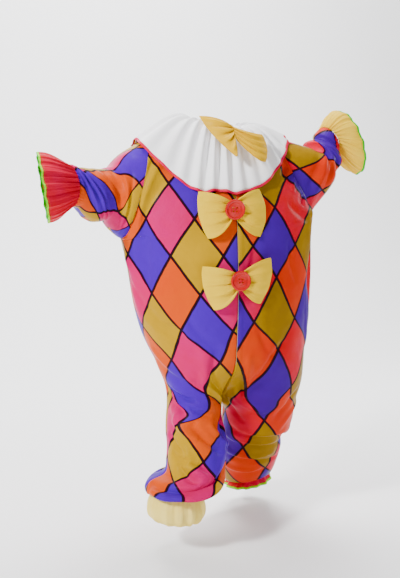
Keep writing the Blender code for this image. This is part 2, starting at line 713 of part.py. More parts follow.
def make_ankle_ruffles(pieces, cloths, trim):
    for side, word in ((RIGHT, "right"), (LEFT, "left")):
        front, back = pieces[f"front_{word}"][0][-1], pieces[f"back_{word}"][0][-1]
        loop = np.vstack([front[:-1], back[::-1][:-1]])
        middle = loop.mean(axis=0)
        fine = [loop + (np.roll(loop, -1, axis=0) - loop) * f for f in (0, 1 / 3, 2 / 3)]
        loop = np.stack(fine, axis=1).reshape(-1, 3)
        away = loop - middle
        away[:, 2] = 0
        away /= np.linalg.norm(away, axis=1, keepdims=True)
        section = ANKLE[side]
        rows = np.linspace(0, len(section["drop"]) - 1, RUFFLE_ROWS + (2 if side == RIGHT else 1))
        drop, spread, height = (spline(section[name], rows) for name in ("drop", "spread", "wave"))
        grid = loop[None] + away[None] * spread[:, None, None] - np.array([0, 0, 1]) * drop[:, None, None]
        grid = waved(grid, np.broadcast_to(away, grid.shape), ANKLE_WAVES, height)
        flip = side == RIGHT
        make_ruffle(f"ankle_ruffle_{word}", grid, flip, cloths[side], trim if side == LEFT else None, away)


def collar_grid():
    """The collar, from inside the neck opening, up, over and down to its edge."""
    turn = np.arange(COLLAR_COLUMNS) / COLLAR_COLUMNS * 2 * np.pi
    at = np.degrees(turn) / COLLAR_EDGE["angle"][1]
    reach, low = spline(COLLAR_EDGE["reach"], at), spline(COLLAR_EDGE["z"], at)
    aim = np.stack([np.sin(turn), -np.cos(turn), np.zeros_like(turn)], axis=-1)
    share = np.linspace(0, 1, COLLAR_ROWS + 1)[:, None]
    radius = COLLAR_STAND_RADIUS + (reach - COLLAR_STAND_RADIUS) * share ** COLLAR_WIDEN
    top = COLLAR_STAND - COLLAR_STAND_TILT * np.cos(turn)
    puff = (COLLAR_PUFF - COLLAR_PUFF_LEAN * np.sin(turn)) * (1 - COLLAR_PUFF_LOSS * share)
    grid = aim[None] * radius[..., None]
    fall = (low - top) * share ** COLLAR_FALL
    grid[..., 2] = top + fall + puff * np.sin(np.pi * share ** COLLAR_PUFF_START)
    return grid, share[:, 0]


def make_collar(white, red):
    grid, share = collar_grid()
    normals = grid_normals(grid, True, False)
    middle = np.sin(np.pi * share ** COLLAR_FOLD_START) ** COLLAR_FOLD_STAY
    height = COLLAR_FOLD + COLLAR_FOLD_MIDDLE * middle + COLLAR_FOLD_EDGE * share
    height[0] = COLLAR_FOLD_NECK
    grid = waved(grid, normals, COLLAR_FOLDS, height)
    edge = strip(grid, BINDING_WIDTH)
    both = shared_normals([(grid, True, False), (edge, True, False)])
    wall("collar", grid, both[0], white, True, False, COLLAR_WALL)
    wall("collar_binding", edge, both[1], red, True, False, BINDING_WALL)


def bow_grid(corners):
    """A bow in the XZ plane, pinched at its middle, with pleats that fan out from there. Its corners
    are given for the wing on the wearer's right and then for the other."""
    v = np.linspace(-1, 1, BOW_ROWS + 1)[:, None]
    half = BOW_COLUMNS // 2
    far = np.linspace(0, 1, half + 1)[None, :]
    wings = []
    for side, wing in zip((RIGHT, LEFT), range(2)):
        top_x, top_z, low_x, low_z, bulge, pleats = (corners[name][wing] for name in corners)
        edge_x = low_x + (top_x - low_x) * (v + 1) / 2 + side * bulge * (1 - v * v)
        edge_z = low_z + (top_z - low_z) * (v + 1) / 2
        open_up = np.sin(np.pi / 2 * far) ** BOW_OPENING
        x = edge_x * far
        z = BOW_PINCH * v * (1 - open_up) + edge_z * open_up
        pleat = BOW_PLEAT * np.cos(pleats * np.pi * v) * (1 - BOW_PLEAT_FADE * far)
        y = pleat - BOW_PUFF * np.sin(np.pi * far)
        wings.append(np.stack([x, y, z], axis=-1))
    return np.concatenate([wings[0][:, :0:-1], wings[1]], axis=1)


def tree_of(*objects):
    points, faces = [], []
    for piece in objects:
        start = len(points)
        points += [piece.matrix_world @ v.co for v in piece.data.vertices]
        faces += [[start + i for i in p.vertices] for p in piece.data.polygons]
    return BVHTree.FromPolygons(points, faces)


def clearance(piece, others, direction):
    """How far the piece can move along a direction before it meets what the others hold."""
    least = 1.0
    for spots, tree, way in ((spots_of(piece), tree_of(*others), direction),
                             (spots_of(*others), tree_of(piece), -direction)):
        for spot in spots:
            hit = tree.ray_cast(spot - way * SEAT_REACH, way)
            if hit[0] is not None:
                least = min(least, hit[3] - SEAT_REACH)
    return least


def spots_of(*objects):
    """Every corner, edge middle and face middle of some pieces."""
    spots = []
    for piece in objects:
        mesh = piece.data
        spots += [v.co.copy() for v in mesh.vertices]
        spots += [(mesh.vertices[a].co + mesh.vertices[b].co) / 2 for a, b in mesh.edge_keys]
        spots += [p.center.copy() for p in mesh.polygons]
    return spots


def seat(piece, on, direction, gap):
    """Moves a piece along a direction until only the gap is left between it and what carries it."""
    direction = Vector(direction).normalized()
    room = clearance(piece, on, direction)
    piece.data.transform(Matrix.Translation(direction * (room - gap)))


def hole_cutters():
    """The buttons' thread holes, as cutters that stand round the turned profile's axis."""
    cutters = []
    for i in range(HOLES):
        turn = 2 * math.pi * (i + 0.5) / HOLES
        bpy.ops.mesh.primitive_cylinder_add(
            vertices=HOLE_SIDES, radius=HOLE_RADIUS, depth=HOLE_DEPTH,
            location=(HOLE_REACH * math.cos(turn), HOLE_REACH * math.sin(turn), 0),
        )
        hole = bpy.context.object
        hole.name = f"thread_hole_{i}"
        hole.hide_render = True
        hole.display_type = "WIRE"
        for other in hole.users_collection:
            other.objects.unlink(hole)
        CUTTERS.objects.link(hole)
        cutters.append(hole)
    return cutters


def make_button(name, at, tilt, cutters, slot):
    """A big round button, turned from its profile, with four thread holes. It faces -Y."""
    mesh = bpy.data.meshes.new(name)
    points = [(share * BUTTON_RADIUS, 0, height) for share, height in zip(*BUTTON_PROFILE.values())]
    mesh.from_pydata(points, [(i, i + 1) for i in range(len(points) - 1)], [])
    mesh.materials.append(slot)
    made = bpy.data.objects.new(name, mesh)
    COSTUME.objects.link(made)
    turned = made.modifiers.new("turned", "SCREW")
    turned.steps = turned.render_steps = BUTTON_SIDES
    turned.use_merge_vertices = True
    turned.merge_threshold = 0.0001
    for cutter in cutters:
        cut = made.modifiers.new(cutter.name, "BOOLEAN")
        cut.object = cutter
    bpy.context.view_layer.update()
    final = bpy.data.meshes.new_from_object(made.evaluated_get(bpy.context.evaluated_depsgraph_get()))
    made.modifiers.clear()
    made.data = final
    final.shade_smooth()
    final.set_sharp_from_angle(angle=math.radians(SHARP_ANGLE))
    final.transform(Matrix.Translation(at) @ Matrix.Rotation(math.radians(90) + tilt, 4, "X"))
    return made


def make_bow(word, slot):
    place = BOW_PLACES[word]
    grid = bow_grid(BOWS[word])
    grid[..., 1] += place["lean"] * grid[..., 2] + place["wrap"] * grid[..., 0] ** 2
    grid = grid + np.array([place["x"], place["y"], place["z"]])
    return wall(f"bow_{word}", grid, grid_normals(grid, False, False), slot, False, False, BOW_WALL, 0)


def make_bows(yellow, red):
    """The bows and buttons, each moved back until it lies on what carries it."""
    panels = [COSTUME.objects[n] for n in ("front_right", "front_left")]
    collar = [COSTUME.objects[n] for n in ("collar", "collar_binding")]
    into = (0, 1, 0)
    cutters = hole_cutters()
    for word in ("upper", "lower"):
        place = BOW_PLACES[word]
        bow = make_bow(word, yellow)
        seat(bow, panels + collar, into, SEAT_GAP)
        at = (place["x"], BUTTON_START, place["z"])
        disc = make_button(f"button_{word}", at, math.atan(place["lean"]), cutters, red)
        seat(disc, [bow] + panels, into, SEAT_GAP)
    seat(make_bow("neck", yellow), collar, into, 2 * SEAT_GAP)


def make_neck_elastic(black):
    """The flat elastic that holds the neck bow, round the neck just inside the collar's edge."""
    turn = np.arange(ELASTIC_COLUMNS) / ELASTIC_COLUMNS * 2 * np.pi
    x, y = ELASTIC_RADIUS * np.sin(turn), -ELASTIC_RADIUS * np.cos(turn)
    z = COLLAR_STAND - COLLAR_STAND_TILT * np.cos(turn)
    half = ELASTIC_WIDTH / 2
    grid = np.array([np.stack([x, y, z + lift], axis=-1) for lift in (-half, half)])
    away = np.stack([x, y, 0 * x], axis=-1) / ELASTIC_RADIUS
    wall("neck_elastic", grid, np.broadcast_to(away, grid.shape), black, True, False, ELASTIC_WALL, 0)


def reset_scene():
    for old in list(bpy.data.objects):
        bpy.data.objects.remove(old)


def new_collection(name):
    made = bpy.data.collections.new(name)
    bpy.context.scene.collection.children.link(made)
    return made


def main():
    satin = material("harlequin_satin", (0.24, 0.06, 0.62))
    red = material("red_satin", (0.80, 0.03, 0.05))
    yellow = material("yellow_satin", (0.90, 0.68, 0.16))
    green = material("green_binding", (0.16, 0.72, 0.03))
    white = material("white_satin", (0.86, 0.84, 0.84))
    piping = material("red_binding", (0.78, 0.02, 0.10))
    elastic = material("black_elastic", (0.015, 0.015, 0.018), 0.7)
    plastic = material("red_plastic", (0.75, 0.01, 0.02), 0.25)
    pieces = make_suit(satin)
    make_wrist_ruffles({RIGHT: red, LEFT: yellow}, green)
    make_ankle_ruffles(pieces, {RIGHT: yellow, LEFT: red}, green)
    make_collar(white, piping)
    make_bows(yellow, plastic)
    make_neck_elastic(elastic)


reset_scene()
COSTUME = new_collection("clown_costume")
CUTTERS = new_collection("cutters")
main()
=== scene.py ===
"""The looks of a clown costume, worn: a baggy harlequin satin suit with gathered wrist and ankle
ruffles, a wide gathered collar, three bows and two big buttons.

Metres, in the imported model's frame: +Z up, the suit faces -Y, and the wearer's left is +X. Each
piece of cloth is a thin shell on its solid's form, from the same section tables, cut finer, with its
seams, gathers and creases. Its diamonds are printed by place on the flat cloth.
"""
import json
import math

import bpy
import numpy as np
from mathutils import Matrix, Vector

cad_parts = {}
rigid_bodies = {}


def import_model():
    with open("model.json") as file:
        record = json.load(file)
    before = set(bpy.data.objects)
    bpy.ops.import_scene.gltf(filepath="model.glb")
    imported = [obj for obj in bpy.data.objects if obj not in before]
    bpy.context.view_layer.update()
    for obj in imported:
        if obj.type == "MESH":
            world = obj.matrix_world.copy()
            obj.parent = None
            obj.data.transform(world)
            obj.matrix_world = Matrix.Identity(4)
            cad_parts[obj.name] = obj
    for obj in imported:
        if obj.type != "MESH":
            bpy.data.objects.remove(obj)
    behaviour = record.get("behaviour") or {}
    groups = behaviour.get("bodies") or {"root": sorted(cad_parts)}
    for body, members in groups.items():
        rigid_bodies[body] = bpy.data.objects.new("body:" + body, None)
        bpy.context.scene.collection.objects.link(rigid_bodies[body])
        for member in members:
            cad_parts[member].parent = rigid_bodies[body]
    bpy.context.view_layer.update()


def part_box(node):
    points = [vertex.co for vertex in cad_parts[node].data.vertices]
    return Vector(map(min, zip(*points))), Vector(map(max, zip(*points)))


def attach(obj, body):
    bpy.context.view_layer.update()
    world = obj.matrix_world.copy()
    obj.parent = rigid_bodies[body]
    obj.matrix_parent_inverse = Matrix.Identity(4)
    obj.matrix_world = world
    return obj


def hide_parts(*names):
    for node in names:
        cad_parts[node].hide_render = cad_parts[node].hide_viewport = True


RIGHT, LEFT = -1, 1
FRONT, BACK = -1, 1
UNITS = {"mm": 1000, "%": 100}

# Cloth and seams
CLOTH = 0.0012
SEAM_GAP = 0.0002
SEAM_DIP = 0.0016
SEAM_SOFT = 0.006

# How finely each piece is cut
ROWS_A_STEP = 8
PANEL_MIDDLE_COLUMNS = 76
SLEEVE_ROWS = 130
RUFFLE_COLUMNS = 260
RUFFLE_ROWS = 36
COLLAR_COLUMNS = 560
COLLAR_ROWS = 56
BOW_COLUMNS = 88
BOW_ROWS = 72
BUTTON_SIDES = 96
BINDING_SIDES = 12

# Rows of the body, counted down from the shoulder seam
ARMPIT_ROW = 8
BLEND_ROW = 14
CROTCH_ROW = 18
# How long a quarter circle's handles are, as a share of its radius, when it is drawn as a cubic curve
ARC = 0.5523
# How much of a side seam's rise the cloth beside it has left
SIDE_DIP = 0.2
# The higher this is, the nearer to the middle seam the panels of the two sides start to bend to meet
JOIN_POWER = 5
# Where the columns beside a panel's seams are, and where the even ones start and end
SEAM_COLUMNS = (0.0, 0.006, 0.014, 0.024)
EVEN_COLUMNS = (0.036, 0.964)
# Points within a hundredth of a millimetre are one
POINTS_A_METRE = 1e5
WELD = 1 / POINTS_A_METRE


def table(names, *rows):
    """One array for each named column, turned to metres or shares where its name ends in mm or %."""
    columns = {}
    for name, values in zip(names.split(), np.array(rows, float).T):
        name, _, unit = name.partition("/")
        columns[name] = values / UNITS.get(unit, 1)
    return columns


def spline(values, at):
    """Values on a smooth curve through the rows of a table, at row numbers that need not be whole."""
    values = np.asarray(values, float)
    at = np.clip(np.asarray(at, float), 0, len(values) - 1)
    i = np.minimum(at.astype(int), len(values) - 2)
    f = at - i
    p0 = values[np.maximum(i - 1, 0)]
    p1 = values[i]
    p2 = values[i + 1]
    p3 = values[np.minimum(i + 2, len(values) - 1)]
    bend = 2 * p0 - 5 * p1 + 4 * p2 - p3
    twist = 3 * (p1 - p2) + p3 - p0
    return p1 + 0.5 * f * (p2 - p0 + f * (bend + f * twist))


def smooth(x):
    x = np.clip(x, 0.0, 1.0)
    return x * x * (3 - 2 * x)


# The line down the middle of the yoke, from the shoulder seam's row to the armpits' row. The first
# rows run round the neck opening, whose angle is counted from its side to the front or back.
YOKE = table(
    "angle  front_y/mm  front_z/mm  back_y/mm  back_z/mm",
    (0, 0, 0, 0, 0),
    (38, -56, -8, 50, -2),
    (68, -84, -26, 74, -4),
    (90, -94, -40, 82, -10),
    (90, -132, -78, 112, -40),
    (90, -166, -128, 142, -92),
    (90, -192, -190, 166, -160),
    (90, -210, -260, 184, -245),
    (90, -220, -330, 194, -330),
)
NECK_RADIUS = 0.088
SHOULDER_LIFT = 0.004

# The body's rings, from the armpits' row down. front, back, right and left are how far the cloth
# stands from the middle line. rise is how much higher the side seam is than the middle.
TORSO = table(
    "z/mm  front/mm  back/mm  right/mm  left/mm  rise_right/mm  rise_left/mm",
    (-330, 220, 194, 330, 322, -16, 58),
    (-400, 227, 198, 317, 316, -10, 40),
    (-470, 230, 200, 305, 316, -6, 24),
    (-540, 230, 200, 295, 315, 0, 10),
    (-600, 226, 200, 282, 313, 0, 0),
    (-660, 220, 198, 264, 307, 0, 0),
    (-720, 212, 194, 238, 299, 0, 0),
    (-780, 202, 190, 211, 296, 0, 0),
    (-830, 192, 186, 190, 294, 0, 0),
    (-870, 184, 182, 184, 290, 0, 0),
    (-905, 176, 178, 188, 284, 0, 0),
)

# The legs' rings, from the row where they start to part. x and y place the middle, wide and deep are
# half the ring's size, and roll lifts the ring's outer side. The last rows turn the bag of cloth over
# the ankle, under and up to the ankle seam.
LEG_COLUMNS = "z/mm  x/mm  y/mm  wide/mm  deep/mm  roll"
LEG = {
    RIGHT: table(
        LEG_COLUMNS,
        (-720, -121, -6, 117, 182, 0.00),
        (-780, -107, -14, 103, 160, 0.00),
        (-830, -97, -26, 93, 142, 0.00),
        (-870, -99, -38, 86, 130, 0.00),
        (-905, -101, -50, 87, 122, 0.00),
        (-945, -103, -64, 92, 117, 0.00),
        (-985, -101, -78, 98, 114, 0.00),
        (-1025, -99, -92, 99, 112, 0.00),
        (-1065, -105, -106, 98, 112, 0.00),
        (-1106, -114, -119, 99, 114, 0.00),
        (-1125, -141, -127, 119, 123, 0.00),
        (-1145, -154, -134, 126, 126, 0.00),
        (-1160, -160, -139, 120, 121, 0.00),
        (-1166, -168, -142, 107, 109, 0.02),
        (-1161, -176, -144, 91, 94, 0.04),
        (-1147, -181, -145, 77, 80, 0.06),
    ),
    LEFT: table(
        LEG_COLUMNS,
        (-720, 152, 2, 147, 185, 0.00),
        (-780, 151, 6, 145, 170, 0.00),
        (-830, 150, 12, 143, 157, 0.00),
        (-870, 152, 20, 136, 147, 0.00),
        (-905, 153, 30, 130, 139, 0.00),
        (-950, 156, 46, 125, 132, 0.00),
        (-1000, 156, 66, 122, 128, 0.00),
        (-1036, 156, 83, 122, 128, 0.02),
        (-1056, 149, 96, 110, 118, 0.04),
        (-1095, 147, 114, 109, 117, 0.06),
        (-1135, 154, 138, 109, 116, 0.10),
        (-1178, 159, 164, 104, 111, 0.14),
        (-1216, 163, 184, 96, 104, 0.18),
        (-1238, 166, 194, 87, 93, 0.20),
        (-1240, 168, 199, 78, 82, 0.20),
        (-1228, 169, 201, 69, 71, 0.20),
    ),
}

# The sleeves' rings, from armhole to wrist. yaw turns the ring's axis forward from straight out to
# the side, pitch lifts it, and tall and deep are half the ring's size.
SLEEVE_COLUMNS = "x/mm  y/mm  z/mm  yaw  pitch  tall/mm  deep/mm"
SLEEVE = {
    RIGHT: table(
        SLEEVE_COLUMNS,
        (-292, -2, -188, 4, 14, 165, 130),
        (-341, -12, -199, 12, 8, 131, 120),
        (-380, -32, -205, 20, 2, 94, 103),
        (-424, -56, -208, 25, -4, 81, 88),
        (-461, -78, -196, 26, -8, 79, 80),
        (-490, -96, -179, 26, -8, 69, 70),
        (-507, -105, -173, 26, -6, 61, 61),
    ),
    LEFT: table(
        SLEEVE_COLUMNS,
        (256, 0, -142, 16, 26, 144, 112),
        (324, 10, -128, -6, 24, 94, 106),
        (370, 34, -98, -20, 38, 64, 88),
        (388, 52, -64, -20, 50, 58, 74),
        (402, 62, -34, -16, 46, 52, 60),
        (417, 70, -12, -12, 33, 44, 50),
    ),
}

# The wrist ruffles' hems: where the hem's middle is, how it is turned and half its size
WRIST = {
    RIGHT: dict(hem=(-0.586, -0.153, -0.180), yaw=-2, pitch=-8, tall=0.104, deep=0.092),
    LEFT: dict(hem=(0.492, 0.088, -0.026), yaw=-10, pitch=20, tall=0.114, deep=0.092),
}
WRIST_WAVES = 12
WRIST_WAVE = 0.0024
WRIST_WAVE_GROWTH = 0.8
# The ankle ruffles, down from the ankle seam: how much wider than the seam, and half a wave's height
ANKLE_COLUMNS = "drop  spread  wave"
ANKLE = {
    RIGHT: table(
        ANKLE_COLUMNS,
        (0.000, -0.0033, 0.0006), (0.030, 0.0060, 0.0026), (0.062, 0.0160, 0.0042),
        (0.090, 0.0140, 0.0046), (0.106, 0.0020, 0.0038),
    ),
    LEFT: table(
        ANKLE_COLUMNS,
        (0.000, -0.0033, 0.0006), (0.012, -0.0010, 0.0018), (0.024, 0.0050, 0.0034),
        (0.036, 0.0120, 0.0044),
    ),
}
ANKLE_WAVES = 13
ANKLE_SOFTER = 0.7
ANKLE_UNEVEN = 0.7
BINDING_WIDTH = 0.009
BINDING_THICK = 0.0026
# Below 1, this squares a binding's section
BINDING_SQUARE = 0.7
# The bands of a green binding that get a painted highlight, in a lighter green
BINDING_PAINTED_HIGHLIGHT = (2, 3)
# Gathers aren't even, so a second, lower wave runs round with the first
SECOND_WAVE = 0.35
SECOND_WAVE_MORE = 3
SECOND_WAVE_TURN = 1.3
# What shifts uneven waves and what swells them: how often round, from which angle and by what share
UNEVEN = ((3, 1, 1.0), (5, 2, 0.5))

# Where a fold starts and ends, by row and by how far it is across its panel from the side to the
# middle, how wide it is, and how far it stands out (or, below zero, in).
FOLD = "row_a  across_a/%  row_b  across_b/%  wide/mm  out/mm"
# The largest folds of the suit
FOLDS = {
    (RIGHT, FRONT): table(
        FOLD,
        (5.0, 10, 10.0, 30, 30, -12), (7.5, 4, 12.0, 14, 26, 9), (12.4, 30, 13.6, 80, 22, -9),
        (14.4, 5, 15.6, 45, 24, -10), (16.4, 2, 18.0, 30, 18, -14), (17.4, 10, 19.4, 34, 18, 9),
        (13.5, 74, 17.5, 62, 22, 11), (18.6, 78, 22.0, 66, 18, -9), (20.6, 26, 22.8, 46, 16, 8),
        (21.6, 40, 23.4, 66, 14, -9),
    ),
    (RIGHT, BACK): table(
        FOLD,
        (10.0, 40, 14.0, 55, 36, 12), (14.5, 10, 16.5, 60, 26, -12), (18.0, 20, 19.6, 70, 22, 9),
        (20.6, 20, 21.8, 66, 20, -9),
    ),
    (LEFT, FRONT): table(
        FOLD,
        (5.0, 8, 10.0, 24, 28, 9), (7.5, 16, 12.5, 30, 26, -9), (13.0, 60, 16.5, 74, 24, -9),
        (19.6, 10, 20.8, 80, 22, 9), (21.8, 5, 22.6, 70, 16, -10), (23.2, 10, 24.0, 80, 18, 10),
        (24.8, 0, 25.2, 50, 14, -8),
    ),
    (LEFT, BACK): table(
        FOLD,
        (10.0, 35, 15.0, 45, 36, -10), (15.5, 10, 18.0, 60, 26, 11), (20.0, 10, 21.0, 80, 22, -10),
        (22.6, 5, 23.6, 70, 20, 10),
    ),
}
# How high a fold still is at its ends, as a share of its height, before the root is taken
FOLD_END = 0.12
# The creases round the sleeves where they are pushed up: how far along, how wide and how deep.
SLEEVE_CREASES = {
    RIGHT: table("along  wide  out", (0.34, 0.07, -0.010), (0.55, 0.07, 0.006), (0.78, 0.06, -0.006)),
    LEFT: table("along  wide  out", (0.40, 0.06, -0.010), (0.58, 0.06, 0.007), (0.74, 0.05, -0.009)),
}
CREASE_LEAN = 0.05
CREASE_TURN = 0.7

# The collar's edge round the neck, in even steps from the front towards the wearer's left
COLLAR_EDGE_STEP = 15
COLLAR_EDGE = table(
    "reach/mm  z/mm",
    (206, -194), (207, -181), (210, -159), (209, -120), (214, -80), (222, -34), (222, -10), (232, -8),
    (234, -68), (216, -132), (194, -156), (186, -160), (186, -160), (188, -160), (196, -156),
    (216, -148), (246, -100), (284, -44), (274, -24), (276, -46), (250, -104), (231, -157), (217, -188),
    (206, -184), (206, -194),
)
COLLAR_FOLDS = 26
COLLAR_STAND_RADIUS = 0.0835
COLLAR_STAND = 0.005
COLLAR_STAND_TILT = 0.011
COLLAR_PUFF = 0.038
COLLAR_PUFF_LEAN = 0.018
# How the collar's reach, its fall and its puff run from the neck to the edge
COLLAR_REACH_POWER = 1.15
COLLAR_FALL_POWER = 2
COLLAR_PUFF_PLACE = 0.75
COLLAR_PUFF_FADE = 0.35
# Half the height of the collar's folds at the neck, in the middle and at the edge
COLLAR_FOLD_NECK = 0.0006
COLLAR_FOLD = 0.0022
COLLAR_FOLD_MIDDLE = 0.0050
COLLAR_FOLD_EDGE = 0.0016
COLLAR_UNEVEN = 0.8
# Where the folds are highest and how broadly, and how much of the collar is still its neck
COLLAR_MIDDLE_PLACE = 0.8
COLLAR_MIDDLE_BREADTH = 0.7
COLLAR_NECK_SHARE = 0.16

# The bows' corners, measured across and up from the pinched middle, for the wing on the wearer's
# right and then for the other. bulge rounds a wing's outer edge, and pleats fan out over its height.
BOW_COLUMN_NAMES = "top_x/mm  top_z/mm  low_x/mm  low_z/mm  bulge/mm  pleats"
BOWS = {
    "upper": table(
        BOW_COLUMN_NAMES,
        (-108, 55, -82, -90, 14, 3),
        (86, 62, 86, -86, 22, 3),
    ),
    "lower": table(
        BOW_COLUMN_NAMES,
        (-116, 46, -80, -91, 14, 3),
        (104, 68, 70, -75, 18, 3),
    ),
    "neck": table(
        BOW_COLUMN_NAMES,
        (-98, 48, -8, -82, 12, 4),
        (98, -10, 88, -98, 12, 4),
    ),
}
# Where the bows' pinched middles are, seen from the front. Their depth comes from the solids. lean
# brings a bow's lower edge forward, and wrap bends its wings back round what they lie on.
BOW_PLACES = {
    "upper": dict(x=-0.013, z=-0.248, lean=0.10, wrap=0.7),
    "lower": dict(x=0.001, z=-0.468, lean=0.00, wrap=0.7),
    "neck": dict(x=0.006, z=-0.004, lean=0.75, wrap=2.0),
}
BOW_PINCH = 0.016
BOW_PUFF = 0.014
BOW_PLEAT = 0.005
BOW_PLEAT_FADE = 0.7
BOW_OPENING = 0.8
BOW_FINE_PLEAT = 0.0022
# The fine pleats' waves: how many for each pleat, how many more, their share and their start
BOW_FINE_WAVES = ((2, 1, 1.0, 1), (3, 2, 0.6, 2))
BOW_FINE_FADE = 1.2
BOW_FINE_START = 0.1
BOW_CLOTH = 0.0024

# The button's section from the middle of its face, out over its rim and back along its underside
BUTTON_PROFILE = table(
    "share  height",
    (0.00, 0.0040), (0.34, 0.0040), (0.40, 0.0043), (0.46, 0.0052), (0.52, 0.0054), (0.58, 0.0046),
    (0.70, 0.0040), (0.77, 0.0048), (0.82, 0.0064), (0.88, 0.0072), (0.94, 0.0070), (0.985, 0.0060),
    (1.00, 0.0044), (1.00, 0.0018), (0.985, 0.0006), (0.96, 0.0000), (0.00, 0.0000),
)
HOLE_RADIUS = 0.0025
HOLE_REACH = 0.0072
HOLE_SIDES = 20
CUTTER_LENGTH = 0.03
BUTTON_MERGE = 0.0001
BUTTON_SHARP = 40
ELASTIC_RADIUS = COLLAR_STAND_RADIUS - 0.0027
ELASTIC_WIDTH = 0.008
ELASTIC_COLUMNS = 120
ELASTIC_ROWS = 5

# Where the left front laps over the right one
LAP_WIDTH = 0.012
LAP_HEIGHT = 0.0020
LAP_SOFT = 0.004
LAP_END_ROW = 17.5
LAP_END_SOFT = 1.5
LAP_FIRST_ROW = 2
# The pale strip of painted highlight on the lap's edge: its width, the row where it ends and how far it
# stands off the cloth
LAP_EDGE_WIDTH = 0.0012
LAP_EDGE_END_ROW = 14.5
LAP_EDGE_THICK = 0.0004

# The smaller creases of the panels, in the same form as the folds
CREASES = {
    # Right front: beside the armhole, over the belly, at the crotch, down the thigh and at the ankle
    (RIGHT, FRONT): table(
        FOLD,
        (2.4, 13, 7.4, 9, 11, -7), (2.8, 26, 6.8, 22, 13, 5), (4.0, 40, 7.6, 30, 12, -3),
        (8.6, 6, 10.2, 30, 12, 4), (9.2, 4, 11.2, 26, 11, -4), (11.3, 26, 12.7, 62, 11, -5),
        (11.8, 20, 13.3, 52, 12, 4), (11.9, 64, 13.5, 86, 10, -5), (12.5, 60, 14.0, 82, 10, 4),
        (13.6, 10, 15.4, 50, 11, 4), (13.8, 82, 17.4, 93, 11, -8), (14.8, 70, 17.8, 88, 12, 6),
        (15.2, 56, 17.6, 80, 11, -5), (16.2, 8, 16.7, 44, 8, -11), (16.8, 6, 17.4, 36, 10, 8),
        (17.0, 22, 18.2, 62, 10, -8), (17.6, 16, 20.0, 44, 12, 8), (18.4, 44, 21.4, 76, 11, -9),
        (18.6, 62, 21.0, 90, 11, 9), (18.2, 90, 21.2, 84, 10, -9), (19.8, 8, 21.2, 30, 10, -7),
        (21.2, 12, 21.6, 42, 10, -9), (21.9, 20, 23.2, 48, 10, -11), (21.7, 32, 22.8, 60, 10, 9),
        (24.1, 4, 22.3, 88, 14, -14), (24.9, 10, 23.3, 92, 13, 10), (25.4, 30, 24.1, 94, 10, -9),
        (25.9, 6, 26.2, 46, 10, -5),
    ),
    # Left front, the same way down
    (LEFT, FRONT): table(
        FOLD,
        (1.5, 14, 3.0, 32, 10, -6), (2.3, 5, 3.6, 26, 10, 5), (3.5, 8, 4.8, 40, 10, -7),
        (4.3, 5, 5.5, 38, 10, 6), (5.2, 4, 6.4, 34, 10, -6), (6.1, 5, 7.8, 26, 10, 5),
        (6.4, 54, 7.9, 36, 12, -3), (8.2, 86, 11.2, 92, 10, -4), (8.4, 62, 10.4, 52, 12, -4),
        (8.8, 22, 12.4, 10, 12, -5), (10.8, 32, 14.0, 18, 12, 4), (12.0, 86, 14.2, 70, 11, -4),
        (13.2, 62, 16.4, 80, 11, -5), (13.8, 92, 17.4, 74, 12, 6), (15.0, 95, 18.2, 66, 11, -8),
        (16.2, 90, 18.8, 54, 11, 6), (17.0, 96, 19.6, 70, 10, -7), (16.6, 20, 19.6, 46, 12, -5),
        (18.3, 8, 20.4, 40, 12, 5), (20.0, 88, 21.4, 22, 11, -7), (20.9, 92, 22.2, 28, 11, 6),
        (21.7, 78, 22.7, 12, 10, -7), (22.7, 92, 23.5, 30, 11, 7), (23.5, 82, 24.4, 16, 10, -7),
        (24.2, 95, 25.0, 46, 10, 6),
    ),
    # The backs, with softer ones of the same kind
    (RIGHT, BACK): table(
        FOLD,
        (2.6, 12, 7.2, 10, 12, -6), (4.6, 30, 8.0, 18, 13, 4), (8.8, 6, 11.0, 34, 12, -4),
        (11.6, 50, 13.4, 80, 12, -4), (13.0, 14, 14.8, 56, 12, 4), (14.6, 90, 17.6, 72, 12, -7),
        (15.6, 94, 18.4, 60, 12, 5), (18.2, 12, 19.6, 62, 11, -5), (19.6, 86, 21.2, 30, 11, -6),
        (21.2, 90, 22.4, 26, 11, 6), (22.6, 80, 23.8, 14, 11, -7),
    ),
    (LEFT, BACK): table(
        FOLD,
        (2.2, 14, 6.6, 12, 12, -6), (4.2, 34, 7.8, 16, 13, 5), (9.4, 8, 11.8, 30, 12, -4),
        (11.2, 80, 13.0, 56, 12, -4), (13.8, 22, 16.0, 62, 12, 4), (15.2, 94, 18.0, 70, 12, -6),
        (17.4, 10, 19.4, 48, 12, 5), (19.8, 84, 21.2, 20, 11, -6), (21.4, 88, 22.4, 30, 11, 6),
        (22.8, 82, 23.6, 16, 10, -6), (24.0, 92, 24.6, 40, 10, 5),
    ),
}
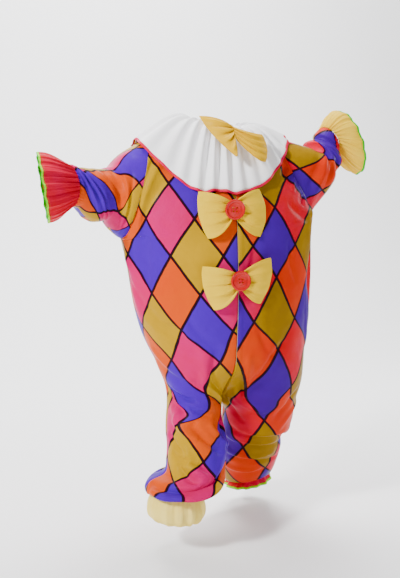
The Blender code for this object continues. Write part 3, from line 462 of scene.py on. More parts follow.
# The sleeves' fine creases: how far along, how they slope round, where and how far round, and depth
SMALL_CREASES_COLUMNS = "along/%  slope/%  middle  reach  wide  out/mm"
SMALL_CREASES = {
    RIGHT: table(
        SMALL_CREASES_COLUMNS,
        (16, 2, 1.2, 1.0, 0.030, -5), (26, 6, 2.0, 0.9, 0.028, 4), (36, 10, 1.5, 1.0, 0.028, -5),
        (46, 12, 1.9, 0.9, 0.026, 4), (60, 16, 1.6, 1.0, 0.022, -6), (66, 17, 1.7, 0.9, 0.022, 5),
        (73, 18, 1.8, 0.9, 0.022, -6), (79, 17, 1.8, 0.9, 0.020, 5), (86, 14, 1.9, 0.8, 0.018, -5),
        (30, -8, 4.4, 1.2, 0.030, -5), (52, 10, 4.8, 1.2, 0.026, 5), (74, -6, 4.6, 1.3, 0.024, -5),
    ),
    LEFT: table(
        SMALL_CREASES_COLUMNS,
        (14, 14, 1.6, 0.8, 0.028, -6), (22, 16, 1.7, 0.8, 0.026, 6), (30, 17, 1.7, 0.8, 0.026, -7),
        (38, 16, 1.8, 0.8, 0.026, 6), (46, 12, 1.8, 0.8, 0.024, -5), (58, -6, 1.6, 0.9, 0.022, -5),
        (68, 5, 2.2, 1.0, 0.020, 4), (78, -4, 1.7, 1.1, 0.020, -5), (28, 10, 4.6, 1.2, 0.030, -5),
        (54, -8, 4.4, 1.2, 0.026, 5), (76, 6, 4.9, 1.2, 0.024, -5),
    ),
}
# How far a crease bends off its line, as a share of its length, and where it fades out at a seam
CREASE_BOW = 0.07
CREASE_FADE = 0.014
CREASE_DEPTH = 1.3
# The machine stitches and the thread in the buttons' holes
STITCH_STEP = 0.0044
STITCH_LENGTH = 0.0030
STITCH_THICK = 0.0007
STITCH_IN = 0.0045
BUTTON_THREAD = 0.0022
BUTTON_THREAD_LIFT = 0.0032
THREAD_SIDES = 6
# The two waves that gather a sleeve at its wrist: how many more than the count, from which angle, how
# high, and from where and over how much of the sleeve they grow
SLEEVE_GATHER_COUNT = 34
SLEEVE_GATHERS = ((0, 0, 0.0012, 0.8, 0.2), (7, 1, 0.0006, 0.7, 0.3))
# Over how much of the sleeve its fine creases die away at the armhole and at the wrist
SLEEVE_FADES = (0.06, 0.03)
# The fine gathers at the rows where the ruffles are sewn on
GATHERS = {
    "wrist": dict(count=31, height=0.0030, fade=0.7),
    "ankle": dict(count=37, height=0.0014, fade=0.5),
    "collar": dict(count=58, height=0.0012, fade=0.35),
}
# Their three waves: how many for each gather, how many more, their share and the angle they start from
GATHER_WAVES = ((1, 0, 1.0, 0), (2, 5, 0.6, 2), (1, -9, 0.5, 4))
GATHER_START = 0.03
# How far a wrist ruffle's first row is drawn down from its sleeve, as a share of the first step
WRIST_CLEAR = 0.15

# The print: a diamond's width and height on the flat cloth, and where the lattice starts on each piece
DIAMOND_WIDE = 0.166
DIAMOND_TALL = 0.243
PRINT_START = {
    "front_right": (0, 0),
    "front_left": (0, 0),
    "back_right": (0.021, -0.060),
    "back_left": (-0.104, 0.061),
}
# The cloth hangs slack, so the print slips over the form, by how far down it is. A scratch program found
# how far each crossing in the photograph lies from an even lattice, and these are means of its results
PRINT_SLIP = {
    "front_right": table(
        "down/mm  across/mm  along/mm",
        (50, 107, -83), (170, 125, -46), (300, 134, -33), (400, 129, -28), (520, 118, -29),
        (630, 97, -23), (730, 52, -5), (850, 41, 7), (950, 77, 32), (1060, 87, 37), (1150, 100, 85),
    ),
    "front_left": table(
        "down/mm  across/mm  along/mm",
        (100, -166, -329), (150, -116, -272), (250, -134, -243), (360, -134, -242), (460, -135, -222),
        (600, -138, -239), (700, -158, -221), (840, -157, -236), (980, -184, -247), (1120, -201, -263),
    ),
}
# The sleeves' print is bunched and turned. These are its steps for a metre round and a metre along, as
# a scratch program's least squares gave them from the crossings in the photograph
SLEEVE_PRINT = {
    RIGHT: dict(i_round=-7.2, i_along=11.0, i_start=-0.64, j_round=-6.6, j_along=-0.1, j_start=-0.25),
    LEFT: dict(i_round=3.9, i_along=6.1, i_start=1.54, j_round=-9.6, j_along=8.5, j_start=-1.81),
}
OUTLINE = 0.031
OUTLINE_SOFT = 0.005
OUTLINE_COLOUR = (0.014, 0.003, 0.008)
PRINT_WAVER = 0.012
DIAMONDS = {
    "violet": (0.060, 0.0, 0.38),
    "pink": (0.54, 0.0, 0.12),
    "orange": (0.60, 0.070, 0.0),
    "gold": (0.46, 0.260, 0.0),
}
# Painted shade: the diamonds' colours as they look in shade, blended in most of all on the wearer's left, the
# side away from the key light
PAINTED_SHADE_DIAMONDS = {
    "violet": (0.046, 0.0, 0.22),
    "pink": (0.54, 0.0, 0.006),
    "orange": (0.56, 0.018, 0.0),
    "gold": (0.24, 0.125, 0.0),
}
# Where in x the painted shade starts to grow towards the wearer's left, and where it stops growing
PAINTED_SHADE_FROM = -0.04
PAINTED_SHADE_TO = 0.10
# How much painted shade is blended in, growing towards the wearer's left between the two x values above, and
# how far the share varies at random from spot to spot
PAINTED_SHADE_ACROSS = 0.8
PAINTED_SHADE_SPOTS = (-0.1, 0.4)
PAINTED_SHADE_NOISE = (7, 4, 0.6)
WAVER_NOISE = (28, 2)
# Where nearly all of a noise's values lie
NOISE_RANGE = (0.3, 0.75)
SHEEN_ROUGHNESS = 0.35
COAT_ROUGHNESS = 0.08
SATIN_ROUGHNESS = 0.36
SATIN_GLOSS = 0.03
# The satin's soft unevenness: the noise's scale and detail, and the bump's strength and depth
SATIN_WAVES = ((11, 2, 0.5, 0.011), (34, 3, 0.3, 0.004))
WEAVE_STRENGTH = 0.12
WEAVE_DEPTH = 0.0003
# The wrong side of the print: how much of its grey shows, and how dull it is
INSIDE_SHARE = 0.4
INSIDE_COLOUR = (0.35, 0.30, 0.34)
INSIDE_ROUGHNESS = 0.75
INSIDE_SHEEN = 0.05
INSIDE_WEAVE = 0.2
PLASTIC_COLOURS = ((0.50, 0.0, 0.0), (0.44, 0.0, 0.001))
PLASTIC_SCALE = 30
PLASTIC_ROUGHNESS = 0.2
PLASTIC_GLOSS = 0.25
WEFT_SCALE = 900
WARP_SCALE = 220

FLOOR_Z = -1.36
STAGE_COLOUR = (0.93, 0.93, 0.94)
STAGE_ROUGHNESS = 0.8
STAGE_GLOSS = 0.1
# The backdrop's section from the front of the floor, round its sweep and up
STAGE_FRONT = -6.0
STAGE_BACK = 4.6
STAGE_SWEEP = 2.2
STAGE_TOP = 5.0
STAGE_HALF = 9.0
STAGE_STEPS = 25
WORLD_STRENGTH = 0.3
# Each light: where it is, what it aims at, its size and its power
LIGHTS = (
    ("key", (-3.4, -2.2, 1.9), (0, 0, -0.45), 0.7, 340),
    ("fill", (1.6, -3.6, 0.2), (0, 0, -0.6), 2.0, 30),
    ("edge", (3.4, 0.6, 0.8), (0, 0, -0.5), 1.2, 80),
    ("back", (-0.8, 3.2, 1.6), (0, 0, -0.5), 1.6, 30),
    ("backdrop", (0.0, 1.5, 3.4), (0, 4.4, -0.6), 3.0, 520),
)
CAMERA_AT = (-0.7876, -2.8955, -0.16)
CAMERA_AIM = (0.2402, 0.9633, -0.1201)
CAMERA_LENS = 55.74
CAMERA_SENSOR = 36


def turns(count):
    """The angles of this many points round a full turn."""
    return np.arange(count) / count * 2 * np.pi


def unit(vectors):
    return vectors / np.linalg.norm(vectors, axis=-1, keepdims=True)


def bell(x):
    return np.exp(-(x ** 2))


def closed_up(grid):
    """A closed grid with its first column again at the end."""
    return np.concatenate([grid, grid[:, :1]], axis=1)


def section(columns, row):
    """The values of a table's columns at one row."""
    return {name: float(spline(column, row)) for name, column in columns.items()}


def bezier(points, s):
    """A cubic curve with these four corners, at the shares s."""
    s = np.asarray(s, float)[:, None]
    a, b, c, d = (np.asarray(p, float) for p in points)
    return a * (1 - s) ** 3 + 3 * b * s * (1 - s) ** 2 + 3 * c * s * s * (1 - s) + d * s ** 3


def ring(side, centre, yaw, pitch, tall, deep, turn):
    """Points round an upright ring. turn is 0 at the bottom and a quarter turn at the front."""
    yaw, pitch = math.radians(yaw), math.radians(pitch)
    level = math.cos(pitch)
    out = np.array([side * level * math.cos(yaw), -level * math.sin(yaw), math.sin(pitch)])
    front = np.array([-side * math.sin(yaw), -math.cos(yaw), 0.0])
    up = side * np.cross(front, out)
    turn = np.asarray(turn, float)[:, None]
    return np.asarray(centre) - tall * np.cos(turn) * up + deep * np.sin(turn) * front


def sleeve_ring(side, row, turn):
    t = section(SLEEVE[side], row)
    return ring(side, (t["x"], t["y"], t["z"]), t["yaw"], t["pitch"], t["tall"], t["deep"], turn)


def yoke_row(side, face, row, s):
    """A row above the armpits, from the armhole to the middle line or the neck opening."""
    turn = math.pi * (ARMPIT_ROW - row) / ARMPIT_ROW
    outer = sleeve_ring(side, 0, [turn if face == FRONT else -turn])[0]
    name = "front" if face == FRONT else "back"
    angle = math.radians(float(spline(YOKE["angle"], row)))
    y, z = float(spline(YOKE[name + "_y"], row)), float(spline(YOKE[name + "_z"], row))
    inner = np.array([side * NECK_RADIUS * math.cos(angle), y, z])
    ease = float(smooth(1 - row / ARMPIT_ROW))
    span = inner - outer
    leave = (1 - ease) * np.array([0, ARC * span[1], 0]) + ease * span / 3
    arrive = (1 - ease) * np.array([-ARC * span[0], 0, 0]) - ease * span / 3
    lift = np.array([0, 0, SHOULDER_LIFT * ease])
    return bezier((outer, outer + leave + lift, inner + arrive + lift, inner), s)


def torso_row(side, face, row, s):
    t = section(TORSO, row - ARMPIT_ROW)
    wide = t["right"] if side == RIGHT else t["left"]
    rise = t["rise_right"] if side == RIGHT else t["rise_left"]
    deep = t["front"] if face == FRONT else t["back"]
    outer = np.array([side * wide, 0.0, t["z"] + rise])
    below = max(0.0, 1 - (row - ARMPIT_ROW) / 2)
    if below:
        first = np.array([side * TORSO["right" if side == RIGHT else "left"][0], 0.0, 0.0])
        first[2] = TORSO["z"][0] + TORSO["rise_right" if side == RIGHT else "rise_left"][0]
        outer = outer + below ** 2 * (sleeve_ring(side, 0, [0.0])[0] - first)
    inner = np.array([0.0, face * deep, t["z"]])
    leave = np.array([0, face * ARC * deep, -SIDE_DIP * rise])
    arrive = np.array([side * ARC * wide, 0, 0])
    return bezier((outer, outer + leave, inner + arrive, inner), s)


def leg_row(side, face, row, s):
    t = section(LEG[side], row - BLEND_ROW)
    turn = np.pi * np.asarray(s, float)
    x = t["x"] + side * t["wide"] * np.cos(turn)
    y = t["y"] + face * t["deep"] * np.sin(turn)
    z = t["z"] + t["roll"] * side * (x - t["x"])
    return np.stack([x, y, z], axis=-1)


def blended_row(side, face, row, s):
    share = float(smooth((row - BLEND_ROW) / (CROTCH_ROW - BLEND_ROW)))
    if share == 0:
        return torso_row(side, face, row, s)
    if share == 1:
        return leg_row(side, face, row, s)
    return (1 - share) * torso_row(side, face, row, s) + share * leg_row(side, face, row, s)


def panel_row(side, face, row, s):
    """One row of a panel, from its outer edge (s = 0) to its inner one (s = 1)."""
    s = np.asarray(s, float)
    if row < ARMPIT_ROW:
        return yoke_row(side, face, row, s)
    points = blended_row(side, face, row, s)
    joined = float(1 - smooth(row - CROTCH_ROW))
    if row > BLEND_ROW and joined:
        # Down to the crotch both sides' panels meet in one seam
        mine, other = (blended_row(which, face, row, [1.0])[0] for which in (side, -side))
        points = points + joined * (s ** JOIN_POWER)[:, None] * (other - mine) / 2
    return points


def fold_lines(folds):
    """The folds as lines in space, each with its width and how far it stands out."""
    lines = []
    for (side, face), group in folds.items():
        for row_a, across_a, row_b, across_b, wide, out in zip(*group.values()):
            start = panel_row(side, face, row_a, [across_a])[0]
            end = panel_row(side, face, row_b, [across_b])[0]
            lines.append((start, end, wide, out))
    return lines


def folded(grid, normals, lines):
    """The grid with its folds pressed in or raised, each dying away at its ends."""
    for start, end, wide, out in lines:
        span = end - start
        share = ((grid - start) @ span) / (span @ span)
        nearest = start + np.clip(share, 0, 1)[..., None] * span
        away = np.linalg.norm(grid - nearest, axis=-1)
        taper = np.sqrt(np.clip(1 - (2 * np.clip(share, 0, 1) - 1) ** 2, FOLD_END, 1))
        grid = grid + normals * (out * taper * bell(away / wide))[..., None]
    return grid


def creased(grid, normals, chart, rows, side, face):
    """A panel with its smaller creases, placed on the flat cloth and fading out beside its seams."""
    place = np.stack(chart, axis=-1)
    depth = np.zeros(grid.shape[:2])
    for row_a, across_a, row_b, across_b, wide, out in zip(*CREASES[side, face].values()):
        ends = [place[int(np.argmin(np.abs(rows - row))), int(np.argmin(np.abs(panel_shares() - across)))]
                for row, across in ((row_a, across_a), (row_b, across_b))]
        span = ends[1] - ends[0]
        share = np.clip(((place - ends[0]) @ span) / (span @ span), 0, 1)
        middle = 1 - (2 * share - 1) ** 2
        bow = CREASE_BOW * np.array([-span[1], span[0]]) * middle[..., None]
        away = np.linalg.norm(place - ends[0] - share[..., None] * span - bow, axis=-1)
        depth += out * np.sqrt(middle) * bell(away / wide)
    near = np.minimum(lengths_along(grid, 1), from_last(grid))
    near = np.minimum(near, np.minimum(lengths_along(grid, 0), lengths_along(grid[::-1], 0)[::-1]))
    return grid + normals * (CREASE_DEPTH * depth * smooth(near / CREASE_FADE))[..., None]


def waved(grid, normals, waves, heights, uneven_by=0.0):
    """A closed grid with soft waves round it, of the height given for each row."""
    turn = turns(grid.shape[1])
    second = SECOND_WAVE * np.cos((waves + SECOND_WAVE_MORE) * turn + SECOND_WAVE_TURN)
    shift, swell = (uneven_by * share * wave(times * turn + start)
                    for (times, start, share), wave in zip(UNEVEN, (np.sin, np.cos)))
    shape = (np.cos(waves * turn + shift) + second) * (1 + swell)
    return grid + normals * (np.asarray(heights)[:, None] * shape[None, :])[..., None]


def body_rows():
    return BLEND_ROW + len(LEG[RIGHT]["z"])


def face_quads(rows, columns, closed, flip):
    number = np.arange(rows * columns).reshape(rows, columns)
    following = np.roll(number, -1, axis=1) if closed else number[:, 1:]
    here = number if closed else number[:, :-1]
    quads = np.stack([here[:-1], following[:-1], following[1:], here[1:]], axis=-1).reshape(-1, 4)
    return quads[:, ::-1] if flip else quads


def shared_normals(grids):
    """Each point's normal, taken over all the pieces that meet there, so that shells meet at seams."""
    points = np.vstack([grid.reshape(-1, 3) for grid, _, _ in grids])
    names = np.round(points * POINTS_A_METRE).astype(np.int64)
    _, same = np.unique(names, axis=0, return_inverse=True)
    same = same.ravel()
    total = np.zeros((same.max() + 1, 3))
    start = 0
    for grid, closed, flip in grids:
        quads = face_quads(*grid.shape[:2], closed, flip)
        flat = grid.reshape(-1, 3)
        normals = np.cross(flat[quads[:, 2]] - flat[quads[:, 0]], flat[quads[:, 3]] - flat[quads[:, 1]])
        for corner in quads.T:
            np.add.at(total, same[corner + start], normals)
        start += len(flat)
    found, start = [], 0
    for grid, _, _ in grids:
        count = grid.shape[0] * grid.shape[1]
        normals = total[same[start:start + count]]
        normals /= np.linalg.norm(normals, axis=1, keepdims=True) + 1e-12
        found.append(normals.reshape(grid.shape))
        start += count
    return found


def grid_normals(grid, closed=False, flip=False):
    return shared_normals([(grid, closed, flip)])[0]


def lengths_along(grid, axis):
    """How far each point is along its row or column, from the first one."""
    step = np.linalg.norm(np.diff(grid, axis=axis), axis=-1)
    start = np.zeros_like(np.take(step, [0], axis=axis))
    return np.concatenate([start, np.cumsum(step, axis=axis)], axis=axis)


def from_last(grid):
    """How far each point is along its row from the last one."""
    return lengths_along(grid[:, ::-1], 1)[:, ::-1]


def panel_shares():
    """Where the columns of a panel lie, closer together beside its seams."""
    edge = np.array(SEAM_COLUMNS)
    return np.concatenate([edge, np.linspace(*EVEN_COLUMNS, PANEL_MIDDLE_COLUMNS), 1 - edge[::-1]])


def panel_grid(side, face):
    rows = np.linspace(0, body_rows() - 1, (body_rows() - 1) * ROWS_A_STEP + 1)
    return rows, np.array([panel_row(side, face, row, panel_shares()) for row in rows])


def panel_chart(side, rows, grid):
    """Where each point of a panel is on the flat cloth: across from the middle seam, and down."""
    from_inner = from_last(grid)
    armpit = int(np.argmin(np.abs(rows - ARMPIT_ROW)))
    crotch = int(np.argmin(np.abs(rows - CROTCH_ROW)))
    out = np.abs(grid[armpit, ::-1, 0])
    for r in range(armpit):
        from_inner[r] = np.interp(np.abs(grid[r, :, 0]), out, from_inner[armpit, ::-1])
    down = -grid[..., 2]
    down[crotch:] = down[crotch] + lengths_along(grid[crotch:], 0)
    return side * from_inner, down


def sleeve_grid(side):
    """Rings from armhole to wrist, with a point for each fine row of the armhole, front and back."""
    count = 2 * ARMPIT_ROW * ROWS_A_STEP
    turn = np.arange(count) * 2 * math.pi / count
    rows = np.linspace(0, len(SLEEVE[side]["x"]) - 1, SLEEVE_ROWS + 1)
    grid = np.array([sleeve_ring(side, row, turn) for row in rows])
    along = np.linspace(0, 1, SLEEVE_ROWS + 1)
    middle = grid.mean(axis=1, keepdims=True)
    creases = SLEEVE_CREASES[side]
    for at, wide, out in zip(*creases.values()):
        lean = CREASE_LEAN * np.cos(turn + CREASE_TURN * side)[None, :]
        depth = out * bell((along[:, None] - at - lean) / wide)
        depth[[0, -1]] = 0
        away = grid - middle
        grid = grid + depth[:, :, None] * away / np.linalg.norm(away, axis=2, keepdims=True)
    return grid


def small_creases(grid, normals, side):
    """Fine creases round a sleeve, gathered at the wrist, each across part of the ring."""
    rows, columns = grid.shape[:2]
    along = np.linspace(0, 1, rows)[:, None]
    turn = turns(columns)[None, :]
    depth = np.zeros((rows, columns))
    for at, slope, middle, reach, wide, out in zip(*SMALL_CREASES[side].values()):
        off = np.angle(np.exp(1j * (turn - middle)))
        line = along - at - slope * off
        depth += out * bell(line / wide) * bell(off / reach)
    depth += sum(height * np.cos((SLEEVE_GATHER_COUNT + more) * turn + start) * smooth((along - at) / over)
                 for more, start, height, at, over in SLEEVE_GATHERS)
    depth *= smooth(along / SLEEVE_FADES[0]) * smooth((1 - along) / SLEEVE_FADES[1])
    return grid + normals * depth[..., None]


def inward_share(grid, closed):
    """How near each point is to an open edge of its piece, from 1 at the seam to 0."""
    down = lengths_along(grid, 0)
    near = np.minimum(down, down[-1:] - down)
    if not closed:
        across = lengths_along(grid, 1)
        near = np.minimum(near, np.minimum(across, across[:, -1:] - across))
    return bell(near / SEAM_SOFT)


def drawn_in(grid, closed):
    """The grid with its open edges drawn back, to leave a gap at the seams."""
    made = grid.copy()
    edges = [(made[0], grid[1]), (made[-1], grid[-2])]
    if not closed:
        edges += [(made[:, 0], grid[:, 1]), (made[:, -1], grid[:, -2])]
    for edge, inner in edges:
        edge += unit(inner - edge) * SEAM_GAP / 2
    return made


def placed(name, data):
    """A new object with this data, in the scene."""
    made = bpy.data.objects.new(name, data)
    bpy.context.scene.collection.objects.link(made)
    return made


def weld_seam(piece):
    """Joins the repeated column of a piece that runs round to its first one."""
    weld = piece.modifiers.new("weld", "WELD")
    weld.merge_threshold = WELD


def add_mesh(name, points, faces, materials, maps, replaces=()):
    """A piece of the costume: its mesh, its maps on the flat cloth, and the solids it replaces, which are
    hidden.
    """
    mesh = bpy.data.meshes.new(name)
    mesh.from_pydata(np.asarray(points).tolist(), [], np.asarray(faces).tolist())
    for map_name, values in maps.items():
        layer = mesh.uv_layers.new(name=map_name)
        index = np.zeros(len(mesh.loops), np.int32)
        mesh.loops.foreach_get("vertex_index", index)
        layer.data.foreach_set("uv", np.asarray(values, np.float32)[index].ravel())
    for slot_material in materials:
        mesh.materials.append(slot_material)
    mesh.shade_smooth()
    made = placed(name, mesh)
    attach(made, "root")
    if replaces:
        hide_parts(*replaces)
    return made


def shell(name, grid, maps, materials, node, closed=False, flip=False, thick=CLOTH):
    """A thin cloth shell on a grid of points, with its wrong side in the second material."""
    rows, columns = grid.shape[:2]
    if closed:
        # The first column is repeated at the end, so that the maps don't run backwards there
        grid = closed_up(grid)
        columns += 1
    faces = face_quads(rows, columns, False, flip)
    flat_maps = {key: np.stack(value, axis=-1).reshape(-1, 2) for key, value in maps.items()}
    made = add_mesh(name, grid.reshape(-1, 3), faces, materials, flat_maps, (node,))
    if closed:
        weld_seam(made)
    wall = made.modifiers.new("thickness", "SOLIDIFY")
    wall.thickness = thick
    wall.offset = 0
    wall.use_even_offset = False
    wall.material_offset = len(materials) - 1
    return made


def ring_chart(grid, turns_from=0.0):
    """Where the points of a closed grid are on the flat cloth, with the repeated last column."""
    closed = closed_up(grid)
    across = lengths_along(closed, 1)
    across -= across[:, -1:] * turns_from
    down = np.broadcast_to(lengths_along(closed, 0).mean(axis=1, keepdims=True), across.shape)
    return across, down


def panel_print(name, across, down):
    """Places on the lattice of diamonds: i counts down to the right, and j down to the left."""
    start_across, start_down = PRINT_START[name]
    across, along = across + start_across, down + start_down
    if name in PRINT_SLIP:
        slip = PRINT_SLIP[name]
        at = np.interp(down, slip["down"], np.arange(len(slip["down"])))
        across = across + spline(slip["across"], at)
        along = along + spline(slip["along"], at)
    across, along = across / DIAMOND_WIDE, along / DIAMOND_TALL
    return along + across, along - across


def sleeve_print(side, round_it, along):
    steps = SLEEVE_PRINT[side]
    i = steps["i_round"] * round_it + steps["i_along"] * along + steps["i_start"]
    j = steps["j_round"] * round_it + steps["j_along"] * along + steps["j_start"]
    return i, j


def declare(grid, closed=False):
    """Does nothing that lasts: it only joins a closed grid's first column on at its end and drops the result.
    """
    if closed:
        grid = closed_up(grid)


class Nodes:
    """A material's nodes, made and linked in one call each."""

    def __init__(self, name):
        self.material = bpy.data.materials.new(name)
        self.material.use_nodes = True
        self.tree = self.material.node_tree
        self.shader = self.tree.nodes["Principled BSDF"]

    def add(self, kind, inputs=None, **settings):
        node = self.tree.nodes.new("ShaderNode" + kind)
        for key, value in settings.items():
            setattr(node, key, value)
        for key, value in (inputs or {}).items():
            if isinstance(value, bpy.types.NodeSocket):
                self.tree.links.new(value, node.inputs[key])
            else:
                node.inputs[key].default_value = value
        return node

    def math(self, operation, a, b=0.0):
        return self.add("Math", {0: a, 1: b}, operation=operation).outputs[0]

    def blend(self, share, a, b):
        node = self.add("Mix", {"Factor": share}, data_type="RGBA")
        for socket, value in ((node.inputs[6], a), (node.inputs[7], b)):
            if isinstance(value, bpy.types.NodeSocket):
                self.tree.links.new(value, socket)
            else:
                socket.default_value = (*value, 1.0)
        return node.outputs[2]

    def noise(self, scale, detail=3.0, roughness=0.5):
        place = self.add("TexCoord").outputs["Object"]
        inputs = {"Vector": place, "Scale": scale, "Detail": detail, "Roughness": roughness}
        return self.add("TexNoise", inputs).outputs["Fac"]

    def ranged(self, value, low, high, to_low, to_high):
        inputs = {"Value": value, "From Min": low, "From Max": high, "To Min": to_low, "To Max": to_high}
        return self.add("MapRange", inputs).outputs[0]

    def finish(self, colour, roughness, sheen=0.0, coat=0.0, bumps=(), specular=0.5):
        """Sets the shader. Each bump is a height, its strength and its depth in metres."""
        self.tree.links.new(colour, self.shader.inputs["Base Color"])
        self.shader.inputs["Roughness"].default_value = roughness
        self.shader.inputs["Sheen Weight"].default_value = sheen
        self.shader.inputs["Sheen Roughness"].default_value = SHEEN_ROUGHNESS
        self.shader.inputs["Coat Weight"].default_value = coat
        self.shader.inputs["Coat Roughness"].default_value = COAT_ROUGHNESS
        self.shader.inputs["Specular IOR Level"].default_value = specular
        last = None
        for height, strength, depth in bumps:
            inputs = {"Height": height, "Strength": strength, "Distance": depth}
            if last is not None:
                inputs["Normal"] = last
            last = self.add("Bump", inputs).outputs["Normal"]
        if last is not None:
            self.tree.links.new(last, self.shader.inputs["Normal"])
        return self.material


def weave(nodes):
    """A satin's fine floats, from its map on the flat cloth."""
    place = nodes.add("UVMap", uv_map="cloth").outputs[0]
    stretch = nodes.add("Mapping", {"Vector": place, "Scale": (WEFT_SCALE, WARP_SCALE, 1)}).outputs[0]
    inputs = {"Vector": stretch, "Scale": 1.0, "Detail": 2.0}
    return nodes.add("TexNoise", inputs).outputs["Fac"]


def satin_bumps(nodes):
    waves = [(nodes.noise(scale, detail), strength, depth) for scale, detail, strength, depth in SATIN_WAVES]
    return waves + [(weave(nodes), WEAVE_STRENGTH, WEAVE_DEPTH)]


def uneven(nodes, colour, deep, scale=9):
    """A colour that drifts a little over the cloth."""
    share = nodes.ranged(nodes.noise(scale, 4, 0.6), *NOISE_RANGE, 0.0, 1.0)
    return nodes.blend(share, colour, deep)


def satin(name, colour, deep, roughness=SATIN_ROUGHNESS):
    nodes = Nodes(name)
    bumps = satin_bumps(nodes)
    return nodes.finish(uneven(nodes, colour, deep), roughness, bumps=bumps, specular=SATIN_GLOSS)


def harlequin(name, dull=False):
    """Satin printed with diamonds in four colours, outlined in black, with painted shade blended in towards
    the wearer's left.
    """
    nodes = Nodes(name)
    place = nodes.add("UVMap", uv_map="diamonds").outputs[0]
    split = nodes.add("SeparateXYZ", {0: place})
    waver = nodes.ranged(nodes.noise(*WAVER_NOISE), 0.0, 1.0, -PRINT_WAVER, PRINT_WAVER)
    steps = [nodes.math("ADD", split.outputs[axis], waver) for axis in (0, 1)]
    odd = [nodes.math("FLOORED_MODULO", nodes.math("FLOOR", step), 2.0) for step in steps]
    edges = []
    for step in steps:
        part = nodes.math("FRACT", step)
        edges.append(nodes.math("MINIMUM", part, nodes.math("SUBTRACT", 1.0, part)))
    line = nodes.math("MINIMUM", edges[0], edges[1])
    # deep holds the painted shade: the diamonds' colours as they look in shade
    colour, deep = (nodes.blend(odd[0], nodes.blend(odd[1], dye_and_shade["violet"], dye_and_shade["pink"]),
                                nodes.blend(odd[1], dye_and_shade["orange"], dye_and_shade["gold"])) for dye_and_shade in (DIAMONDS, PAINTED_SHADE_DIAMONDS))
    # Painted shade: more of the shaded colours towards the wearer's left, in x, the side away from the key
    # light, and at random spots
    across = nodes.add("SeparateXYZ", {0: nodes.add("TexCoord").outputs["Object"]}).outputs[0]
    painted_shade = nodes.math("ADD", nodes.ranged(across, PAINTED_SHADE_FROM, PAINTED_SHADE_TO, 0.0, PAINTED_SHADE_ACROSS),
                       nodes.ranged(nodes.noise(*PAINTED_SHADE_NOISE), *NOISE_RANGE, *PAINTED_SHADE_SPOTS))
    painted_shade = nodes.ranged(painted_shade, 0.0, 1.0, 0.0, 1.0)
    colour = nodes.blend(painted_shade, colour, deep)
    share = nodes.ranged(line, OUTLINE - OUTLINE_SOFT, OUTLINE + OUTLINE_SOFT, 0.0, 1.0)
    colour = nodes.blend(share, OUTLINE_COLOUR, colour)
    if dull:
        colour = nodes.blend(INSIDE_SHARE, colour, INSIDE_COLOUR)
        bumps = [(weave(nodes), INSIDE_WEAVE, WEAVE_DEPTH)]
        return nodes.finish(colour, INSIDE_ROUGHNESS, INSIDE_SHEEN, bumps=bumps)
    return nodes.finish(colour, SATIN_ROUGHNESS, bumps=satin_bumps(nodes), specular=SATIN_GLOSS)


def make_materials():
    made = {
        "harlequin": harlequin("harlequin_satin"),
        "harlequin_inside": harlequin("harlequin_satin_inside", True),
        "red": satin("red_satin", (0.58, 0.0, 0.002), (0.64, 0.0, 0.06)),
        "yellow": satin("yellow_satin", (0.74, 0.45, 0.005), (0.80, 0.55, 0.05)),
        # A lighter copy of the yellow satin: painted light for the right ankle's ruffle, on the lit side
        "painted_lit_yellow": satin("yellow_satin_painted_lit", (0.82, 0.60, 0.10), (0.86, 0.70, 0.22)),
        "bow": satin("bow_satin", (0.72, 0.44, 0.0), (0.78, 0.52, 0.015)),
        "neck_bow": satin("neck_bow_satin", (0.62, 0.34, 0.0), (0.70, 0.42, 0.005)),
        "white": satin("white_satin", (0.95, 0.94, 0.95), (0.93, 0.92, 0.95), 0.5),
        # A pale tan for the painted highlight along the lap's edge
        "painted_lap_highlight": satin("lap_edge_painted_highlight", (0.46, 0.36, 0.18), (0.40, 0.30, 0.16), 0.6),
        "green": satin("green_binding", (0.005, 0.42, 0.0), (0.02, 0.50, 0.0)),
        # A lighter green, the painted highlight along the green bindings
        "green_highlight": satin("green_binding_painted_highlight", (0.38, 0.80, 0.02), (0.32, 0.76, 0.01)),
        "piping": satin("red_binding", (0.56, 0.0, 0.012), (0.62, 0.0, 0.10)),
        "elastic": satin("black_elastic", (0.012, 0.012, 0.015), (0.02, 0.02, 0.024), 0.75),
        "thread": satin("thread", (0.56, 0.0, 0.02), (0.48, 0.0, 0.02), 0.6),
        "green_thread": satin("green_thread", (0.02, 0.46, 0.0), (0.02, 0.40, 0.0), 0.6),
        "dark_thread": satin("dark_thread", (0.06, 0.02, 0.05), (0.04, 0.01, 0.03), 0.6),
    }
    nodes = Nodes("red_plastic")
    colour = uneven(nodes, *PLASTIC_COLOURS, PLASTIC_SCALE)
    bumps = [(nodes.noise(90, 2), 0.05, 0.0004)]
    made["plastic"] = nodes.finish(colour, PLASTIC_ROUGHNESS, coat=0.1, bumps=bumps, specular=PLASTIC_GLOSS)
    return made


